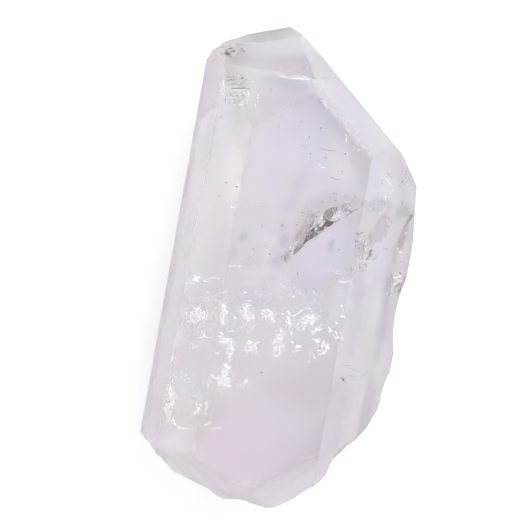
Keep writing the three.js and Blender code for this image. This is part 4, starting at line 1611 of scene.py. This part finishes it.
class QUARTZ_OT_feathers(bpy.types.Operator):
    """Builds the white feathers of healed cracks in the lower half, and the bright rim at the left"""

    bl_idname = "quartz.feathers"
    bl_label = "White Feathers"

    def execute(self, context):
        hearts = {"size": 1.05, "tone": 1.0, "density": HEART_DENSITY, "tilt": 0.12}
        bright_lines = [(width * FEATHER_LINE_WIDTH, *row) for width, *row in FEATHER_LINES + RIM_LINES]
        feathers = (
            (Flakes.tuft, FEATHERS, {}),
            (Flakes.cloud, FEATHER_HEARTS, hearts),
            (Flakes.line, bright_lines, {"gaps": 0.15}),
            (Flakes.speck, FEATHER_DOTS, {}),
        )
        mist = {"size": 0.6, "tone": 0.95, "density": HAZE_DENSITY, "tilt": 0.1}
        haze = ((Flakes.cloud, FEATHER_HAZES, mist),)
        sight = current_sight(context)
        seed = context.scene.quartz.seed
        white = Flakes(sight, seed + 2, feather_depth, scatter=0.35, thickness=FEATHER_THICKNESS)
        white.run(*feathers)
        white.piece("white_feathers", glint_material())
        fine = Flakes(sight, seed + 5, feather_depth, scatter=0.5, thickness=FEATHER_THICKNESS)
        fine.run(*haze)
        fine.piece("feather_haze", glint_material())
        return {"FINISHED"}


class QUARTZ_OT_tip_cracks(bpy.types.Operator):
    """Builds the small cavity and the layered cracks near the point"""

    bl_idname = "quartz.tip_cracks"
    bl_label = "Tip Cracks"

    def execute(self, context):
        steps = ((Flakes.patch, TIP_PATCHES, {}), (Flakes.line, TIP_LINES + TIP_GAPS, {}))
        make_cracks(
            context,
            steps,
            seed_step=3,
            depth=even_depth(0.8),
            scatter=0.1,
            dull=("tip_cracks", flake_material("tip_flakes", *GREY)),
            bright="tip_glints",
        )
        return {"FINISHED"}


class QUARTZ_OT_specks(bpy.types.Operator):
    """Builds the specks and fine dust in the clear parts, and a painted highlight of bright flakes under the
    point's edge
    """

    bl_idname = "quartz.specks"
    bl_label = "Specks"

    def execute(self, context):
        steps = (
            (Flakes.speck, SPECKS, {}),
            (Flakes.line, SPECK_AND_HIGHLIGHT_LINES, {}),
            (Flakes.dust, [(DUST_COUNT, DUST_AREA, DUST_TONES)], {}),
        )
        make_cracks(
            context,
            steps,
            seed_step=4,
            depth=even_depth(1.2),
            scatter=0.3,
            dull=("specks", flake_material("speck_flakes", *MIXED)),
            bright="speck_glints",
        )
        return {"FINISHED"}


def add_camera(scene, lens):
    """A camera that sees what the photograph shows, straight down."""
    camera = bpy.data.cameras.new("camera")
    camera.lens = lens
    camera.sensor_width = SENSOR_WIDTH
    camera.clip_end = FARTHEST_SIGHT
    viewer = bpy.data.objects.new("camera", camera)
    seen_width = PHOTO_WIDTH * MM_PER_PIXEL * MM
    centre = place(*PHOTO_CENTRE, SIGHT_HEIGHT)
    distance = seen_width / camera.sensor_width * camera.lens
    viewer.location = centre + Vector((0, 0, distance))
    viewer.rotation_euler = (0, 0, PHOTO_TURN)
    scene.collection.objects.link(viewer)
    scene.camera = viewer


def add_floor(colour):
    """A wide pale floor, just under the crystal."""
    bm = bmesh.new()
    bmesh.ops.create_circle(bm, cap_ends=True, segments=96, radius=FLOOR_RADIUS)
    bmesh.ops.translate(bm, verts=bm.verts, vec=(0, 0, -FLOOR_DROP))
    recipe = Recipe(bpy.data.materials.new("pale_floor"))
    mottle = recipe.noise(object_place(recipe), 30.0)
    recipe.surface(
        "BsdfPrincipled",
        {
            "Base Color": (*colour, 1.0),
            "Roughness": mottle * 0.1 + 0.75,
            "Specular IOR Level": 0.2,
        },
    )
    new_object("floor", bm, recipe.owner)


def add_key(scene, power, size):
    """The large soft light, which shines at the origin."""
    light = bpy.data.lights.new("key", "AREA")
    light.shape = "DISK"
    light.size = size
    light.energy = power
    key = bpy.data.objects.new("key", light)
    key.location = key_place()
    key.rotation_mode = "QUATERNION"
    key.rotation_quaternion = key.location.to_track_quat("Z", "Y")
    scene.collection.objects.link(key)


def add_sky(scene, zenith, horizon):
    """White light from all round, with a strength that changes from the horizon to straight above."""
    sky = Recipe(bpy.data.worlds.new("studio"), "OutputWorld")
    direction = sky.node("TexCoord", {}, {}, "Generated")
    height = sky.node("SeparateXYZ", {}, {"Vector": direction}, "Z")
    strength = horizon + sky.between(height, 0.0, 1.0) * (zenith - horizon)
    sky.surface("Background", {"Color": (1.0, 1.0, 1.0, 1.0), "Strength": strength})
    scene.world = sky.owner


class QUARTZ_OT_stage(bpy.types.Operator):
    """Sets up the camera, the pale floor and the soft studio light"""

    bl_idname = "quartz.stage"
    bl_label = "Stage"

    def execute(self, context):
        scene = context.scene
        settings = scene.quartz_stage
        add_camera(scene, settings.lens)
        add_floor(settings.floor_colour)
        add_key(scene, settings.key_power, settings.key_size)
        add_sky(scene, settings.sky_zenith, settings.sky_horizon)
        scene.view_settings.view_transform = "Standard"
        return {"FINISHED"}


class QUARTZ_PT_panel(bpy.types.Panel):
    """The crystal's settings and its makers"""

    bl_idname = "QUARTZ_PT_panel"
    bl_label = "Quartz Crystal"
    bl_space_type = "VIEW_3D"
    bl_region_type = "UI"
    bl_category = "Quartz"

    def draw(self, context):
        for group in (context.scene.quartz, context.scene.quartz_stage):
            for name in group.bl_rna.properties.keys():
                if name not in ("rna_type", "name"):
                    self.layout.prop(group, name)
        for operator in OPERATORS:
            self.layout.operator(operator.bl_idname)


OPERATORS = (
    QUARTZ_OT_stage,
    QUARTZ_OT_body,
    QUARTZ_OT_fracture,
    QUARTZ_OT_side_cracks,
    QUARTZ_OT_feathers,
    QUARTZ_OT_tip_cracks,
    QUARTZ_OT_specks,
)
CLASSES = (QuartzSettings, StageSettings, *OPERATORS, QUARTZ_PT_panel)


def register():
    for cls in CLASSES:
        bpy.utils.register_class(cls)
    bpy.types.Scene.quartz = bpy.props.PointerProperty(type=QuartzSettings)
    bpy.types.Scene.quartz_stage = bpy.props.PointerProperty(type=StageSettings)


def unregister():
    del bpy.types.Scene.quartz_stage
    del bpy.types.Scene.quartz
    for cls in reversed(CLASSES):
        bpy.utils.unregister_class(cls)


def main():
    register()
    bpy.ops.quartz.stage()
    bpy.ops.quartz.body()
    bpy.ops.quartz.fracture()
    bpy.ops.quartz.side_cracks()
    bpy.ops.quartz.feathers()
    bpy.ops.quartz.tip_cracks()
    bpy.ops.quartz.specks()


if __name__ == "__main__":
    main()
